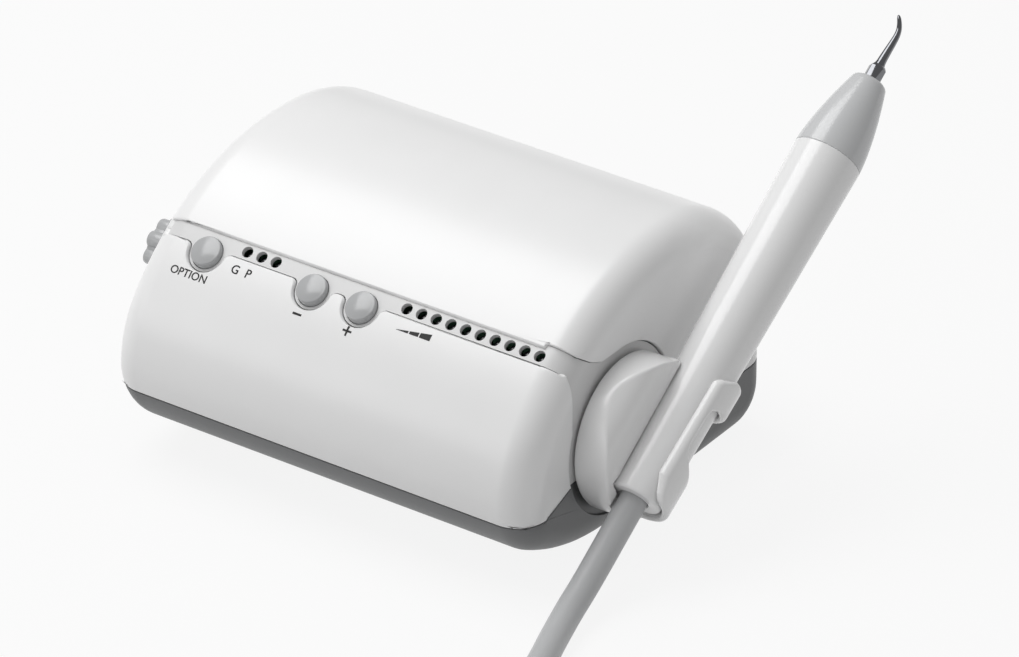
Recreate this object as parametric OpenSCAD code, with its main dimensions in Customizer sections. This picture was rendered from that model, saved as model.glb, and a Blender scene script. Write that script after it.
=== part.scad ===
// Piezo ultrasonic scaler: desktop unit, swivelling handpiece holder, handpiece with tip and cable.
// Millimetres. +X runs along the unit to the holder end, -Y is the front, +Z is up.
// The origin is the middle of the footprint, on the surface the rubber feet stand on.

/* [Housing] */
// Width across the two end faces at mid depth
unit_width = 143.6; // [134:0.1:152]
// Toe-in of each end face, mm per mm of depth
end_taper = 0.029; // [0:0.001:0.04]
// Rounding of the long outline into each end face
end_round = 9.8; // [8:0.1:11]
// Wall thickness of the mouldings
wall = 2.4; // [2:0.1:2.8]
// Gap left at every parting line
seam = 0.15; // [0.1:0.01:0.25]
// Radius of the belly, under the front
belly_radius = 75; // [72:0.1:78]
// Radius of the front nose
nose_radius = 21; // [20:0.1:22]
// Radius of the brow above the nose
brow_radius = 39; // [37.5:0.1:40.5]
// Radius of the long domed top
dome_radius = 85.4; // [84:0.1:87]
// Radius behind the top
crown_radius = 50; // [48:0.1:52]
// Radius down to the back face
back_radius = 40; // [38.5:0.1:41.5]
// Radius at the foot of the back face
heel_radius = 14; // [13:0.1:15]
// Height of the parting line between the covers and the base
parting_height = 23.45; // [22:0.05:25]
// Height of the rubber feet
foot_height = 2.5; // [2:0.1:3.5]
// Diameter of the rubber feet
foot_diameter = 12; // [10:0.1:14]

/* [Control strip] */
// Slope of the skin where the upper cover ends, degrees
crease_heading = 36.3; // [35.5:0.1:37]
// Depth of the strip below the skin
strip_recess = 1; // [0.7:0.05:1.2]
// Thickness of the strip
strip_thickness = 1.6; // [1.3:0.05:1.9]
// Width of the straight part of the strip
strip_width = 5.5; // [5:0.1:6]
// Slope of the button and lamp axes from upright, degrees
control_slope = 35; // [32:0.5:39]
// Pitch of the lamp holes (0.2 inch)
lamp_pitch = 5.08; // [4.8:0.01:5.4]
// Diameter of the lamp holes
lamp_hole_diameter = 3.5; // [3.3:0.05:3.8]
// Diameter of a lamp
lamp_diameter = 3; // [2.8:0.05:3.1]
// Diameter of a button cap
button_diameter = 9.4; // [8.8:0.1:10]
// Height of a button cap above the strip
button_height = 2.5; // [2:0.1:3]
// Travel of a button
button_travel = 1; // [0.6:0.05:1.2]
// Running gap round a button
button_gap = 0.2; // [0.15:0.01:0.3]
// Margin of recessed strip round a button cap
scallop_margin = 2.1; // [1.8:0.05:2.4]

/* [Holder] */
// Diameter of the swivelling disc
disc_diameter = 46.5; // [44:0.1:49]
// Thickness of the disc
disc_thickness = 11.5; // [10.5:0.1:12.5]
// Gap between the disc and the end face
disc_gap = 0.4; // [0.3:0.05:0.8]
// Radial gap of the round recess about the disc
recess_gap = 2.15; // [1.8:0.05:2.6]
// Diameter of the pivot pin
pivot_diameter = 8; // [7:0.1:9]
// Wall of the handpiece clip
clip_wall = 2.4; // [2:0.1:2.8]
// Gap between the clip and the handpiece
clip_gap = 0.3; // [0.2:0.02:0.4]
// Lean of the handpiece from the horizontal at rest, degrees
handpiece_lean = 35.45; // [33:0.05:38]

/* [Handpiece] */
// Diameter of the handpiece at the cable end
tail_diameter = 16.3; // [15.6:0.1:17]
// Diameter of the handpiece at the nose joint
joint_diameter = 20.6; // [19.8:0.1:21.4]
// Length of the white body
body_length = 115.7; // [112:0.1:119]
// Length of the grey nose
nose_length = 26.5; // [25:0.1:28]
// Diameter of the end of the nose
nose_diameter = 10; // [9.4:0.1:10.6]
// Wall of the handpiece body
body_wall = 1.6; // [1.3:0.05:1.9]
// Diameter of the transducer horn
horn_diameter = 11; // [10:0.1:11.8]
// Reach of the tip past the nose
tip_reach = 21; // [19:0.1:23]
// Diameter of the handpiece cable
cable_diameter = 8.3; // [7.8:0.1:8.6]

/* [Services] */
// Diameter of the water flow knob
knob_diameter = 18; // [16:0.1:20]
// Thickness of the water flow knob
knob_thickness = 5.2; // [4.5:0.1:6]
// Inside diameter of the power jack
power_jack_diameter = 5.5; // [5.2:0.1:5.8]
// Inside diameter of the foot switch jack
foot_jack_diameter = 3.5; // [3.3:0.1:3.7]
// Inside diameter of the handpiece socket
socket_diameter = 12.3; // [12:0.1:13]
// Outside diameter of the water inlet barb
barb_diameter = 6.4; // [6:0.1:6.8]

/* [Hidden] */
$fn = 48;
step = 9;
// reach of the cutting blocks, past everything
far = 100;
// outline of the housing in YZ: tangent arcs, clockwise from the front end of the flat bottom
start_y = -15.8;
headings = [180, 152, 84, 52.7, -6, -40, -90];
radii = [belly_radius, nose_radius, brow_radius, dome_radius, crown_radius, back_radius];
function out(h) = [-sin(h), cos(h)];
function run(r, h0, h1) = r * [sin(h0) - sin(h1), cos(h1) - cos(h0)];
function joint_point(i) =
    i == 0 ? [start_y, foot_height]
           : joint_point(i - 1) + run(radii[i - 1], headings[i - 1], headings[i]);
function centre(i) = joint_point(i) - radii[i] * out(headings[i]);
function on_arc(i, h, t) = centre(i) + (radii[i] - t) * out(h);
function steps(a) = max(2, ceil(abs(a) / step));
back_y = joint_point(6)[0];
heel_centre = [back_y - heel_radius, foot_height + heel_radius];
function outline(t) = concat(
    [for (i = [0:5]) let (a = headings[i + 1] - headings[i], n = steps(a))
        for (k = [0:n - 1]) on_arc(i, headings[i] + a * k / n, t)],
    [on_arc(5, -90, t)],
    [for (k = [0:9]) heel_centre + (heel_radius - t) * out(-90 - 10 * k)]);
function surface_z(y, t) = let (i = y < joint_point(4)[0] ? 3 : y < joint_point(5)[0] ? 4 : 5)
    centre(i)[1] + sqrt(pow(radii[i] - t, 2) - pow(y - centre(i)[0], 2));
function post_top(y) = min(surface_z(y - post_radius, wall / 2), surface_z(y + post_radius, wall / 2));
function belly_z(y, t) = centre(0)[1] - sqrt(pow(belly_radius - t, 2) - pow(y - start_y, 2));
function end_x(y) = unit_width / 2 - end_taper * y;

// the skin of the housing, moved in by t all over
module skin(t) {
    turns = concat([for (a = [90:-18:0]) [-1, a]], [for (a = [0:18:90]) [1, a]]);
    rings = [for (s = turns) let (grow = end_round - t)
        [for (p = outline(t + grow * (1 - cos(s[1]))))
            [s[0] * (unit_width / 2 - end_round + grow * sin(s[1]) - end_taper * p[0]), p[0], p[1]]]];
    n = len(rings[0]);
    m = len(rings);
    polyhedron(
        points = [for (r = rings) each r],
        faces = concat(
            [[for (i = [n - 1:-1:0]) i]],
            [[for (i = [0:n - 1]) (m - 1) * n + i]],
            [for (j = [0:m - 2]) for (i = [0:n - 1]) [j * n + i, j * n + (i + 1) % n, (j + 1) * n + (i + 1) % n]],
            [for (j = [0:m - 2]) for (i = [0:n - 1]) [j * n + i, (j + 1) * n + (i + 1) % n, (j + 1) * n + i]]));
}
module layer(t0, t1) {
    difference() {
        skin(t0);
        skin(t1);
    }
}

// where things are on the control strip
crease = on_arc(3, crease_heading, 0);
strip_inner = strip_recess + strip_thickness;
function strip_heading(s) = crease_heading + s / dome_radius * 180 / PI;
strip_slope = strip_heading(strip_width / 2);
lamp_row = 2.4;
button_row = 6.7;
mode_start = -40.48;
mode_count = 3;
mode_places = [for (i = [0:mode_count - 1]) mode_start + lamp_pitch * i];
level_start = 15.75;
level_count = 10;
level_places = [for (i = [0:level_count - 1]) level_start + lamp_pitch * i];
board_end = level_places[level_count - 1] + 4.5;
option_x = -52.3;
minus_x = -14.7;
plus_x = 2.5;
buttons = [option_x, minus_x, plus_x];
board_start = option_x - 6;
board_depth = 9;
board_thickness = 1.6;
flange_thickness = 1.2;
switch_height = 3.5;
plunger_diameter = 3.4;
plunger_height = 1.6;
function strip_point(s, t) = on_arc(3, strip_heading(s), t);
module at_strip(x, s) {
    p = strip_point(s, strip_recess);
    translate([x, p[0], p[1]]) rotate([control_slope, 0, 0]) children();
}
// the same frame with its origin on the button row, for the board behind the strip
module at_board() {
    p = strip_point(button_row, strip_recess);
    translate([0, p[0], p[1]]) rotate([control_slope, 0, 0]) children();
}
// height of the lamp row above the button row's origin, in the board's frame
lamp_rise = let (d = strip_point(lamp_row, strip_recess) - strip_point(button_row, strip_recess))
    [d[0] * cos(control_slope) + d[1] * sin(control_slope), d[1] * cos(control_slope) - d[0] * sin(control_slope)];
scallop_radius = button_diameter / 2 + scallop_margin;
flange_rim = 0.9;
flange_z = -strip_thickness - 0.3
    - (button_diameter / 2 + flange_rim) * tan(abs(strip_heading(button_row) - control_slope));

// the holder and the handpiece
disc_y = -14.285;
disc_z = 35.723;
disc_radius = disc_diameter / 2;
disc_x = end_x(disc_y) + disc_gap;
disc_face = disc_x + disc_thickness;
recess_radius = disc_radius + recess_gap;
handpiece_x = disc_face + 3.28;
tail = -18.4;
joint = tail + body_length;
nose_end = joint + nose_length;
function body_radius(s) = (tail_diameter + (joint_diameter - tail_diameter) * (s - tail) / body_length) / 2;
module at_disc() {
    translate([0, disc_y, disc_z]) rotate([0, 90, 0]) children();
}
// local z runs up the handpiece, local -y is square to it, away from the clip
module on_handpiece(s = 0) {
    translate([handpiece_x, disc_y, disc_z]) rotate([handpiece_lean - 90, 0, 0]) translate([0, 0, s]) children();
}
clip_start = -19.4;
clip_end = 24.5;
rim = 6.5;
bar_round = 9.2;
side_front = crease[0] - 1.1;
side_low = 28.4;

// parts of the skin given to each moulding; g widens the zone by the seam
module right_end() {
    translate([unit_width / 2 - end_round, 0, 0]) children();
}
module base_cut(g) {
    translate([-far, -far, -far]) cube([2 * far, 2 * far, far + parting_height + g]);
    right_end() translate([0, 0, g]) rotate([90, 0, 90]) linear_extrude(height = 40)
        polygon([[-52, 20], [-52, parting_height], [side_front, side_low], [-20, side_low], [-20, 20]]);
}
module side_cut(g) {
    right_end() rotate([90, 0, 90]) linear_extrude(height = 40)
        polygon([[side_front - g, side_low - 10], [side_front - g, crease[1] + 3.56 + g],
            [crease[0] + 3.9, crease[1] - 2.14 + g], [crease[0] + 8.2, crease[1] - 5.04 + g],
            [crease[0] + 13.1, crease[1] - 7.24 + g], [disc_y, disc_z + recess_radius + g], [disc_y, side_low - 10]]);
    at_disc() cylinder(r = recess_radius + g, h = far, $fn = 96);
}
module strip_cut(g) {
    translate([0, crease[0], crease[1]]) rotate([strip_slope, 0, 0]) {
        translate([-far, -strip_width - g, -6]) cube([2 * far, strip_width + g, 12]);
        for (x = buttons) translate([x, -button_row, -6]) cylinder(r = scallop_radius + g, h = 12);
    }
}
module behind_crease(g) {
    translate([-far, crease[0] - g, parting_height - 5]) cube([2 * far, 2 * far, far]);
}

// rear panel
panel_width = 108;
panel_low = 15;
panel_high = 41;
panel_thickness = 1.8;
panel_y = back_y - 2.2;
power_x = panel_width / 2 - 12;
foot_x = power_x - 16;
socket_x = -4;
barb_x = 14 - panel_width / 2;
jack_z = 28;
module rear_cut(g) {
    translate([-panel_width / 2 - g, back_y - 8, panel_low - g])
        cube([panel_width + 2 * g, 20, panel_high - panel_low + 2 * g]);
}
module at_panel(x) {
    translate([x, panel_y, jack_z]) rotate([-90, 0, 0]) children();
}

// screws and posts
post_x = 54;
post_y = [2, 42];
foot_y = [-8, 42];
foot_inset = 12;
post_radius = 4;
screw_diameter = 3;
screw_head = 5.6;
floor_z = foot_height + wall;

// water
knob_y = -30;
knob_z = 52.5;
knob_gap = 0.7;
stem_diameter = 4;
knob_x = -end_x(knob_y) - knob_gap;
valve_x = knob_x + knob_gap + wall + 1;

// cable: the centre line from the tail to the coil, then from the coil to its connector
cable_radius = cable_diameter / 2;
route = [
    [87.38, -24.06, 28.76], [87.38, -31.39, 23.54], [87.38, -38.72, 18.32], [87.4, -46, 13.15],
    [87.75, -53.6, 8.65], [88.9, -61.6, 5.9], [91.1, -69.8, 4.65], [93.9, -78, 4.4], [97, -86.4, 4.4],
    [100.6, -98.2, 4.4], [102, -112, 4.4], [102.3, -130, 4.5], [102.2, -150, 4.6], [101.9, -172, 4.8],
    [101.5, -194, 5.1], [101.2, -208, 5.2]];
tail_points = 6;
coil_centre = [51, -228.4];
coil_radius = 41.5;
coil_lift = 1.2;
tie_angle = 200;
lead = [[50, -278.2, 13.6], [38, -278, 13.4], [26, -276.8, 12.3], [14, -274.8, 10.2], [3.5, -272.6, 9.2]];
plug_axis = [-0.98, 0.2];
plug_radius = 8;
function spline(p, i, u) = let (
    a = p[max(0, i - 1)], b = p[i], c = p[i + 1], d = p[min(len(p) - 1, i + 2)])
    0.5 * (2 * b + (c - a) * u + (2 * a - 5 * b + 4 * c - d) * u * u + (3 * b - a - 3 * c + d) * u * u * u);
function between(p, i0, i1, n) = concat([for (i = [i0:i1 - 1]) for (k = [0:n - 1]) spline(p, i, k / n)], [p[i1]]);
function tail_of(q) = [for (k = [1:len(q) - 1]) q[k]];
function unit(v) = v / norm(v);
// a round tube along the points q, turned so that one side stays level
module tube(q, r, sides = 12, up = [0, 0, 1], r_end = 0) {
    m = len(q);
    rings = [for (j = [0:m - 1]) let (
        t = unit(q[min(m - 1, j + 1)] - q[max(0, j - 1)]),
        u = unit(cross(t, up)),
        v = cross(u, t),
        w = r_end > 0 ? r + (r_end - r) * j / (m - 1) : r)
        for (k = [0:sides - 1]) q[j] + w * (cos(360 * k / sides) * u + sin(360 * k / sides) * v)];
    polyhedron(points = rings, faces = concat(
        [[for (k = [sides - 1:-1:0]) k]],
        [[for (k = [0:sides - 1]) (m - 1) * sides + k]],
        [for (j = [0:m - 2]) for (k = [0:sides - 1])
            [j * sides + k, j * sides + (k + 1) % sides, (j + 1) * sides + k]],
        [for (j = [0:m - 2]) for (k = [0:sides - 1])
            [j * sides + (k + 1) % sides, (j + 1) * sides + (k + 1) % sides, (j + 1) * sides + k]]));
}

// ---- housing ----
module base_tray() color("#77787a") {
    difference() {
        union() {
            intersection() {
                layer(0, wall);
                base_cut(0);
            }
            for (x = [-post_x, post_x], y = post_y)
                translate([x, y, foot_height + wall / 2]) cylinder(r = post_radius, h = parting_height - foot_height - wall / 2);
        }
        for (x = [-post_x, post_x], y = post_y) {
            translate([x, y, -1]) cylinder(d = screw_diameter + 0.4, h = 60);
            translate([x, y, -1]) cylinder(d = screw_head + 0.6, h = 1 + foot_height + 4);
        }
        at_disc() translate([0, 0, end_x(disc_y) - strip_recess]) cylinder(r = recess_radius, h = 10, $fn = 96);
        rear_cut(0.2);
    }
}
module front_cover() color("#f1f1f1") {
    difference() {
        layer(0, wall);
        base_cut(seam);
        behind_crease(seam);
        strip_cut(seam);
        side_cut(seam);
    }
}
module control_strip() color("#d4d5d6") {
    difference() {
        intersection() {
            layer(strip_recess, strip_inner);
            union() {
                difference() {
                    strip_cut(-seam);
                    behind_crease(0);
                }
                side_cut(-seam);
            }
        }
        base_cut(seam);
        for (x = concat(mode_places, level_places))
            at_strip(x, lamp_row) translate([0, 0, -6]) cylinder(d = lamp_hole_diameter, h = 12);
        for (x = buttons) at_strip(x, button_row) translate([0, 0, -6])
            cylinder(d = button_diameter + 2 * button_gap, h = 12);
        at_disc() cylinder(d = pivot_diameter + 5.4, h = far);
    }
}
module top_cover() color("#f4f4f4") {
    difference() {
        union() {
            intersection() {
                layer(0, wall);
                behind_crease(0);
            }
            for (x = [-post_x, post_x], y = post_y)
                translate([x, y, parting_height]) cylinder(r = post_radius, h = post_top(y) - parting_height);
        }
        base_cut(seam);
        side_cut(seam);
        for (x = [-post_x, post_x], y = post_y)
            translate([x, y, 0]) cylinder(d = screw_diameter + 0.1, h = parting_height + 12);
        rear_cut(0.2);
        translate([-far, knob_y, knob_z]) rotate([0, 90, 0]) cylinder(d = stem_diameter + 1, h = 0.6 * far);
    }
}
module rear_panel() color("#5d5e60") {
    difference() {
        translate([-panel_width / 2, panel_y, panel_low]) cube([panel_width, panel_thickness, panel_high - panel_low]);
        at_panel(power_x) translate([0, 0, -5]) cylinder(d = 9.2, h = 12);
        at_panel(foot_x) translate([0, 0, -5]) cylinder(d = 6.2, h = 12);
        at_panel(socket_x) translate([0, 0, -5]) cylinder(d = socket_diameter + 4.4, h = 12);
        at_panel(barb_x) translate([0, 0, -5]) cylinder(d = barb_diameter + 3.2, h = 12);
    }
}
module rubber_feet() color("#3a3a3c") {
    for (x = [foot_inset - post_x, post_x - foot_inset], y = foot_y)
        translate([x, y, 0]) cylinder(d = foot_diameter, h = foot_height);
}
module case_screws() color("#b9bcc0") {
    for (x = [-post_x, post_x], y = post_y) translate([x, y, foot_height + 4]) {
        difference() {
            translate([0, 0, -2.2]) cylinder(d = screw_head, h = 2.2);
            translate([0, 0, -3]) cylinder(d = 3, h = 1.9, $fn = 6);
        }
        cylinder(d = screw_diameter, h = parting_height - foot_height + 4);
    }
}

// ---- controls ----
module lamp_board() color("#2f6b45") {
    at_board() translate([board_start, -9, -board_depth - board_thickness])
        cube([board_end - board_start, 22, board_thickness]);
}
module lamp(colour) color(colour) {
    h = board_depth + lamp_rise[1] - strip_thickness - 0.3;
    translate([0, lamp_rise[0], -board_depth]) {
        cylinder(d = lamp_diameter + 0.4, h = h - lamp_diameter / 2 - 3);
        cylinder(d = lamp_diameter, h = h - lamp_diameter / 2);
        translate([0, 0, h - lamp_diameter / 2]) sphere(d = lamp_diameter);
    }
}
module mode_lamps() {
    at_board() for (x = mode_places) translate([x, 0, 0]) lamp("#9fd7a5");
}
module level_lamps() {
    at_board() for (x = level_places) translate([x, 0, 0]) lamp("#b7dd8a");
}
module key_switches() color("#2b2b2d") {
    at_board() for (x = buttons) translate([x, 0, -board_depth]) {
        translate([-3, -3, 0]) cube([6, 6, switch_height]);
        cylinder(d = plunger_diameter, h = switch_height + plunger_height);
    }
}
module button(x) color("#b0b1b3") {
    rim_r = button_diameter / 2;
    at_strip(x, button_row) {
        rotate_extrude($fn = 64) difference() {
            union() {
                translate([0, flange_z]) square([rim_r, button_height - flange_z - 1.2]);
                intersection() {
                    translate([0, button_height - 12]) circle(r = 12, $fn = 160);
                    translate([0, button_height - 1.21]) square([rim_r, 3]);
                }
                translate([0, flange_z - flange_thickness]) square([rim_r + flange_rim, flange_thickness]);
                translate([0, -board_depth + switch_height + 0.3 - button_gap + button_travel])
                    square([plunger_diameter / 2 + 1.5, board_depth + flange_z - switch_height - 0.3 + button_gap - button_travel]);
            }
            translate([-1, -board_depth]) square([1 + plunger_diameter / 2 + button_gap,
                switch_height + plunger_height + button_travel + 0.3]);
        }
    }
}
module option_button() button(option_x);
module minus_button() button(minus_x);
module plus_button() button(plus_x);

// ---- electronics ----
board_z = floor_z + 7;
board_back = panel_y - 11.6;
board_length = 62;
board_width = 96;
standoff_x = board_width / 2 - 4;
standoff_y = [board_back - board_length + 8, board_back - 4];
module main_board() color("#2f6b45") {
    difference() {
        translate([-board_width / 2, board_back - board_length, board_z])
            cube([board_width, board_length, board_thickness]);
        for (x = [-standoff_x, standoff_x], y = standoff_y) translate([x, y, 0]) cylinder(d = 3.2, h = 60);
    }
}
module board_standoffs() color("#c9b26a") {
    for (x = [-standoff_x, standoff_x], y = standoff_y) translate([x, y, floor_z]) {
        cylinder(d = 5.5, h = board_z - floor_z, $fn = 6);
        cylinder(d = 3, h = board_z - floor_z + 3.4);
    }
}
module output_transformer() color("#caa24c") {
    translate([-8, board_back - 42, board_z + board_thickness]) {
        difference() {
            cube([30, 26, 26]);
            translate([5, -1, 5]) cube([20, 28, 16]);
        }
        translate([5.3, -3, 5.3]) cube([19.4, 32, 15.4]);
    }
}
module heat_sink() color("#a9acb0") {
    translate([22.5, board_back - 17, board_z + board_thickness]) {
        cube([18, 12, 3]);
        for (i = [0:4]) translate([4 * i, 0, 0]) cube([2, 12, 24]);
    }
}
module capacitors() color("#3b4a6b") {
    for (x = [-22, -38]) translate([x, board_back - 26, board_z + board_thickness]) {
        cylinder(d = 13, h = 22);
        cylinder(d = 12.4, h = 22.6);
    }
}

// ---- rear sockets ----
module power_jack() color("#232325") {
    at_panel(power_x) difference() {
        union() {
            translate([0, 0, -9]) cylinder(d = 9, h = 9 + panel_thickness + 0.4);
            translate([0, 0, -3]) cylinder(d = 12, h = 2.9);
        }
        translate([0, 0, -7.5]) cylinder(d = power_jack_diameter, h = 20);
    }
}
module footswitch_jack() color("#232325") {
    at_panel(foot_x) difference() {
        union() {
            translate([0, 0, -12]) cylinder(d = 6, h = 12 + panel_thickness + 0.4);
            translate([0, 0, -3]) cylinder(d = 9, h = 2.9);
        }
        translate([0, 0, -11]) cylinder(d = foot_jack_diameter, h = 30);
    }
}
module handpiece_socket() color("#8e9194") {
    at_panel(socket_x) difference() {
        union() {
            translate([0, 0, -14]) cylinder(d = socket_diameter + 4, h = 14 + panel_thickness + 2);
            translate([0, 0, -4]) cylinder(d = socket_diameter + 9, h = 3.9);
        }
        translate([0, 0, -11]) cylinder(d = socket_diameter, h = 30);
    }
}
module water_inlet() color("#c3c6c9") {
    at_panel(barb_x) difference() {
        union() {
            translate([0, 0, -12]) cylinder(d = barb_diameter + 3, h = 12 + panel_thickness);
            translate([0, 0, -3]) cylinder(d = barb_diameter + 7, h = 2.9);
            cylinder(d = barb_diameter, h = panel_thickness + 10);
            for (z = [4, 7]) translate([0, 0, panel_thickness + z]) cylinder(d1 = barb_diameter + 1, d2 = barb_diameter - 0.6, h = 2.4);
        }
        translate([0, 0, -20]) cylinder(d = barb_diameter - 2.8, h = 60);
    }
}

// ---- water ----
valve_y = 7;
valve_z = floor_z + 2;
valve_size = [15, 18, 14];
valve_left = 5.8 - unit_width / 2;
valve_mid = valve_left + valve_size[0] / 2;
valve_can = 20;
module solenoid_valve() color("#6d7075") {
    translate([valve_left, valve_y, valve_z]) cube(valve_size);
    translate([valve_mid, valve_y + valve_size[1] / 2, valve_z + valve_size[2] - 0.01])
        cylinder(d = valve_size[0], h = valve_can);
    for (x = [valve_left + 5, valve_left + 12])
        translate([x, valve_y + 1, floor_z]) cube([2, valve_size[1] - 2, valve_z - floor_z + 0.01]);
}
valve_half = 7;
module flow_valve() color("#c5a24d") {
    difference() {
        union() {
            translate([valve_x + 0.8, knob_y - valve_half, knob_z - valve_half]) cube([10, 2 * valve_half, 2 * valve_half]);
            translate([valve_x, knob_y, knob_z]) rotate([0, 90, 0]) cylinder(d = 11, h = 0.81);
            translate([valve_x + 6, knob_y - 4, belly_z(knob_y - 4, wall) + 0.3])
                cube([3, 8, knob_z - valve_half - belly_z(knob_y - 4, wall) - 0.29]);
        }
        translate([valve_x - 2, knob_y, knob_z]) rotate([0, 90, 0]) cylinder(d = stem_diameter + 0.1, h = 11);
    }
}
module valve_stem() color("#d0d3d6") {
    translate([knob_x - 3, knob_y, knob_z]) rotate([0, 90, 0]) cylinder(d = stem_diameter, h = valve_x + 7 - knob_x + 3);
}
module water_knob() color("#8f9194") {
    translate([knob_x, knob_y, knob_z]) rotate([0, -90, 0]) difference() {
        union() {
            linear_extrude(height = knob_thickness) union() {
                circle(d = knob_diameter - 3);
                for (a = [0:45:315]) rotate(a) translate([knob_diameter / 2 - 2.4, 0]) circle(r = 2.4, $fn = 24);
            }
        }
        translate([0, 0, -1]) cylinder(d = stem_diameter + 0.1, h = 4.05);
    }
}
inlet_run = [[barb_x, panel_y - 12.4, jack_z], [barb_x - 0.5, panel_y - 17.5, jack_z], [valve_mid + 14, 38.5, 26.5],
    [valve_mid + 9, 34.5, 21], [valve_mid + 3, 31.5, 16.8], [valve_mid, valve_y + valve_size[1] + 3.5, valve_z + 7],
    [valve_mid, valve_y + valve_size[1] + 0.3, valve_z + 7]];
valve_run = [[valve_mid - 2, valve_y - 1.3, valve_z + 7], [valve_mid - 3, 1, 14.6], [valve_mid - 4.1, -6, 20],
    [valve_mid - 4.7, -10, 32], [valve_mid - 4.8, -12.5, 44], [valve_x + 6, -17, knob_z - 0.4],
    [valve_x + 6, knob_y + valve_half + 0.3, knob_z]];
module water_tubes() color("#cfe0ea") {
    tube(between(inlet_run, 0, 6, 3), 2.4, 8);
    tube(between(valve_run, 0, 6, 3), 2.4, 8);
}

// ---- holder ----
plate_x = end_x(disc_y) - strip_inner;
bush_x = plate_x - 6.6;
module pivot_bush() color("#c9b26a") {
    at_disc() difference() {
        union() {
            translate([0, 0, bush_x]) cylinder(d = pivot_diameter + 5, h = end_x(disc_y) - 0.4 - bush_x);
            translate([0, 0, plate_x - 2.5]) cylinder(d = pivot_diameter + 13, h = 2.1);
        }
        translate([0, 0, bush_x - 1]) cylinder(d = pivot_diameter + 0.1, h = 40);
    }
}
module pivot_pin() color("#b9bcc0") {
    at_disc() translate([0, 0, bush_x - 6.4]) cylinder(d = pivot_diameter, h = disc_x + 3 - bush_x + 6.4);
}
module pivot_washer() color("#a9acb0") {
    at_disc() translate([0, 0, bush_x - 1.2]) difference() {
        cylinder(d = pivot_diameter + 8, h = 1);
        translate([0, 0, -1]) cylinder(d = pivot_diameter + 0.1, h = 4);
    }
}
module pivot_nut() color("#9a9da1") {
    at_disc() translate([0, 0, bush_x - 5.4]) difference() {
        cylinder(d = pivot_diameter + 7, h = 4.1, $fn = 6);
        translate([0, 0, -1]) cylinder(d = pivot_diameter + 0.1, h = 8);
    }
}
// bar-shaped front of the disc, drawn square to the handpiece
module disc_bar() {
    w = disc_radius + 0.6;
    on_handpiece(-40) linear_extrude(height = 80) union() {
        translate([disc_x - handpiece_x - 12, -w]) square([disc_thickness - bar_round + 12, 2 * w]);
        translate([disc_x - handpiece_x - 12, -w + bar_round]) square([disc_thickness + 12, 2 * (w - bar_round)]);
        for (m = [-1, 1]) translate([disc_face - bar_round - handpiece_x, m * (w - bar_round)]) circle(r = bar_round, $fn = 96);
    }
}
module holder_clip() color("#f0f0f0") {
    bore0 = body_radius(clip_start - 10) + clip_gap;
    bore1 = body_radius(clip_end + 10) + clip_gap;
    difference() {
        union() {
            intersection() {
                at_disc() translate([0, 0, disc_x]) cylinder(r = disc_radius, h = disc_thickness, $fn = 128);
                disc_bar();
            }
            difference() {
                on_handpiece(clip_start) cylinder(r1 = body_radius(clip_start) + clip_gap + clip_wall,
                    r2 = body_radius(clip_end) + clip_gap + clip_wall, h = clip_end - clip_start, $fn = 96);
                // the mouth, its slope at the cable end, and the window behind the rim
                on_handpiece(0) translate([disc_face - handpiece_x - 0.1, 0, 0]) rotate([90, 0, 90])
                    linear_extrude(height = 40) polygon([[-rim, -10.5], [-5.6, -13], [-4.6, -15.5], [-3, -18],
                        [3, -25], [-30, -25], [-30, 40], [-rim, 40]]);
                on_handpiece(0) translate([3, 0, 0]) rotate([90, 0, 90])
                    linear_extrude(height = 40) polygon([[-4, 1], [-3, -1.5], [0, -4], [6, -7], [14, -9], [30, -9],
                        [30, 14], [-1, 14], [-3.4, 12.6], [-4, 10]]);
                on_handpiece(0) translate([-30, -30, -40]) cube([32.5 + disc_x - handpiece_x, 60, 90]);
            }
        }
        on_handpiece(clip_start - 10) cylinder(r1 = bore0, r2 = bore1, h = clip_end - clip_start + 20, $fn = 96);
        at_disc() translate([0, 0, disc_x - 1]) cylinder(d = pivot_diameter + 0.04, h = 4.1);
    }
}

// ---- handpiece ----
module handpiece_body() color("#f2f2f2") {
    on_handpiece(tail) rotate_extrude($fn = 96) difference() {
        polygon([[0, 0.8], [tail_diameter / 2 - 0.8, 0], [tail_diameter / 2, 0.8], [joint_diameter / 2, body_length],
            [0, body_length]]);
        polygon([[-1, -1], [tail_diameter / 2 - body_wall - 1, -1], [tail_diameter / 2 - body_wall - 1, 5],
            [tail_diameter / 2 - body_wall, 6], [joint_diameter / 2 - body_wall, body_length - 2],
            [joint_diameter / 2 - body_wall, body_length + 1], [-1, body_length + 1]]);
    }
}
nose_curve = [for (u = [0:0.1:1]) [joint_diameter / 2 - (joint_diameter - nose_diameter) / 2 * pow(u, 1.55),
    nose_length * u - (u == 1 ? 1.2 : 0)]];
module nose_cone() color("#aeb0b3") {
    on_handpiece(joint) rotate_extrude($fn = 96) difference() {
        union() {
            polygon(concat([[0, 0]], nose_curve, [[nose_diameter / 2 - 1.2, nose_length], [0, nose_length]]));
            translate([0, -7]) square([joint_diameter / 2 - body_wall - 0.25, 7.01]);
        }
        polygon([[-1, -8], [horn_diameter / 2 + 1.4, -8], [horn_diameter / 2 + 1.4, 2], [4.1, nose_length - 8],
            [2.6, nose_length - 6], [2.6, nose_length + 1], [-1, nose_length + 1]]);
    }
}
module nose_light() color("#e8e6c8") {
    on_handpiece(joint - 12) difference() {
        cylinder(d = joint_diameter - 2 * body_wall - 1.2, h = 4.8);
        translate([0, 0, -1]) cylinder(d = horn_diameter + 0.6, h = 8);
    }
}
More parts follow.
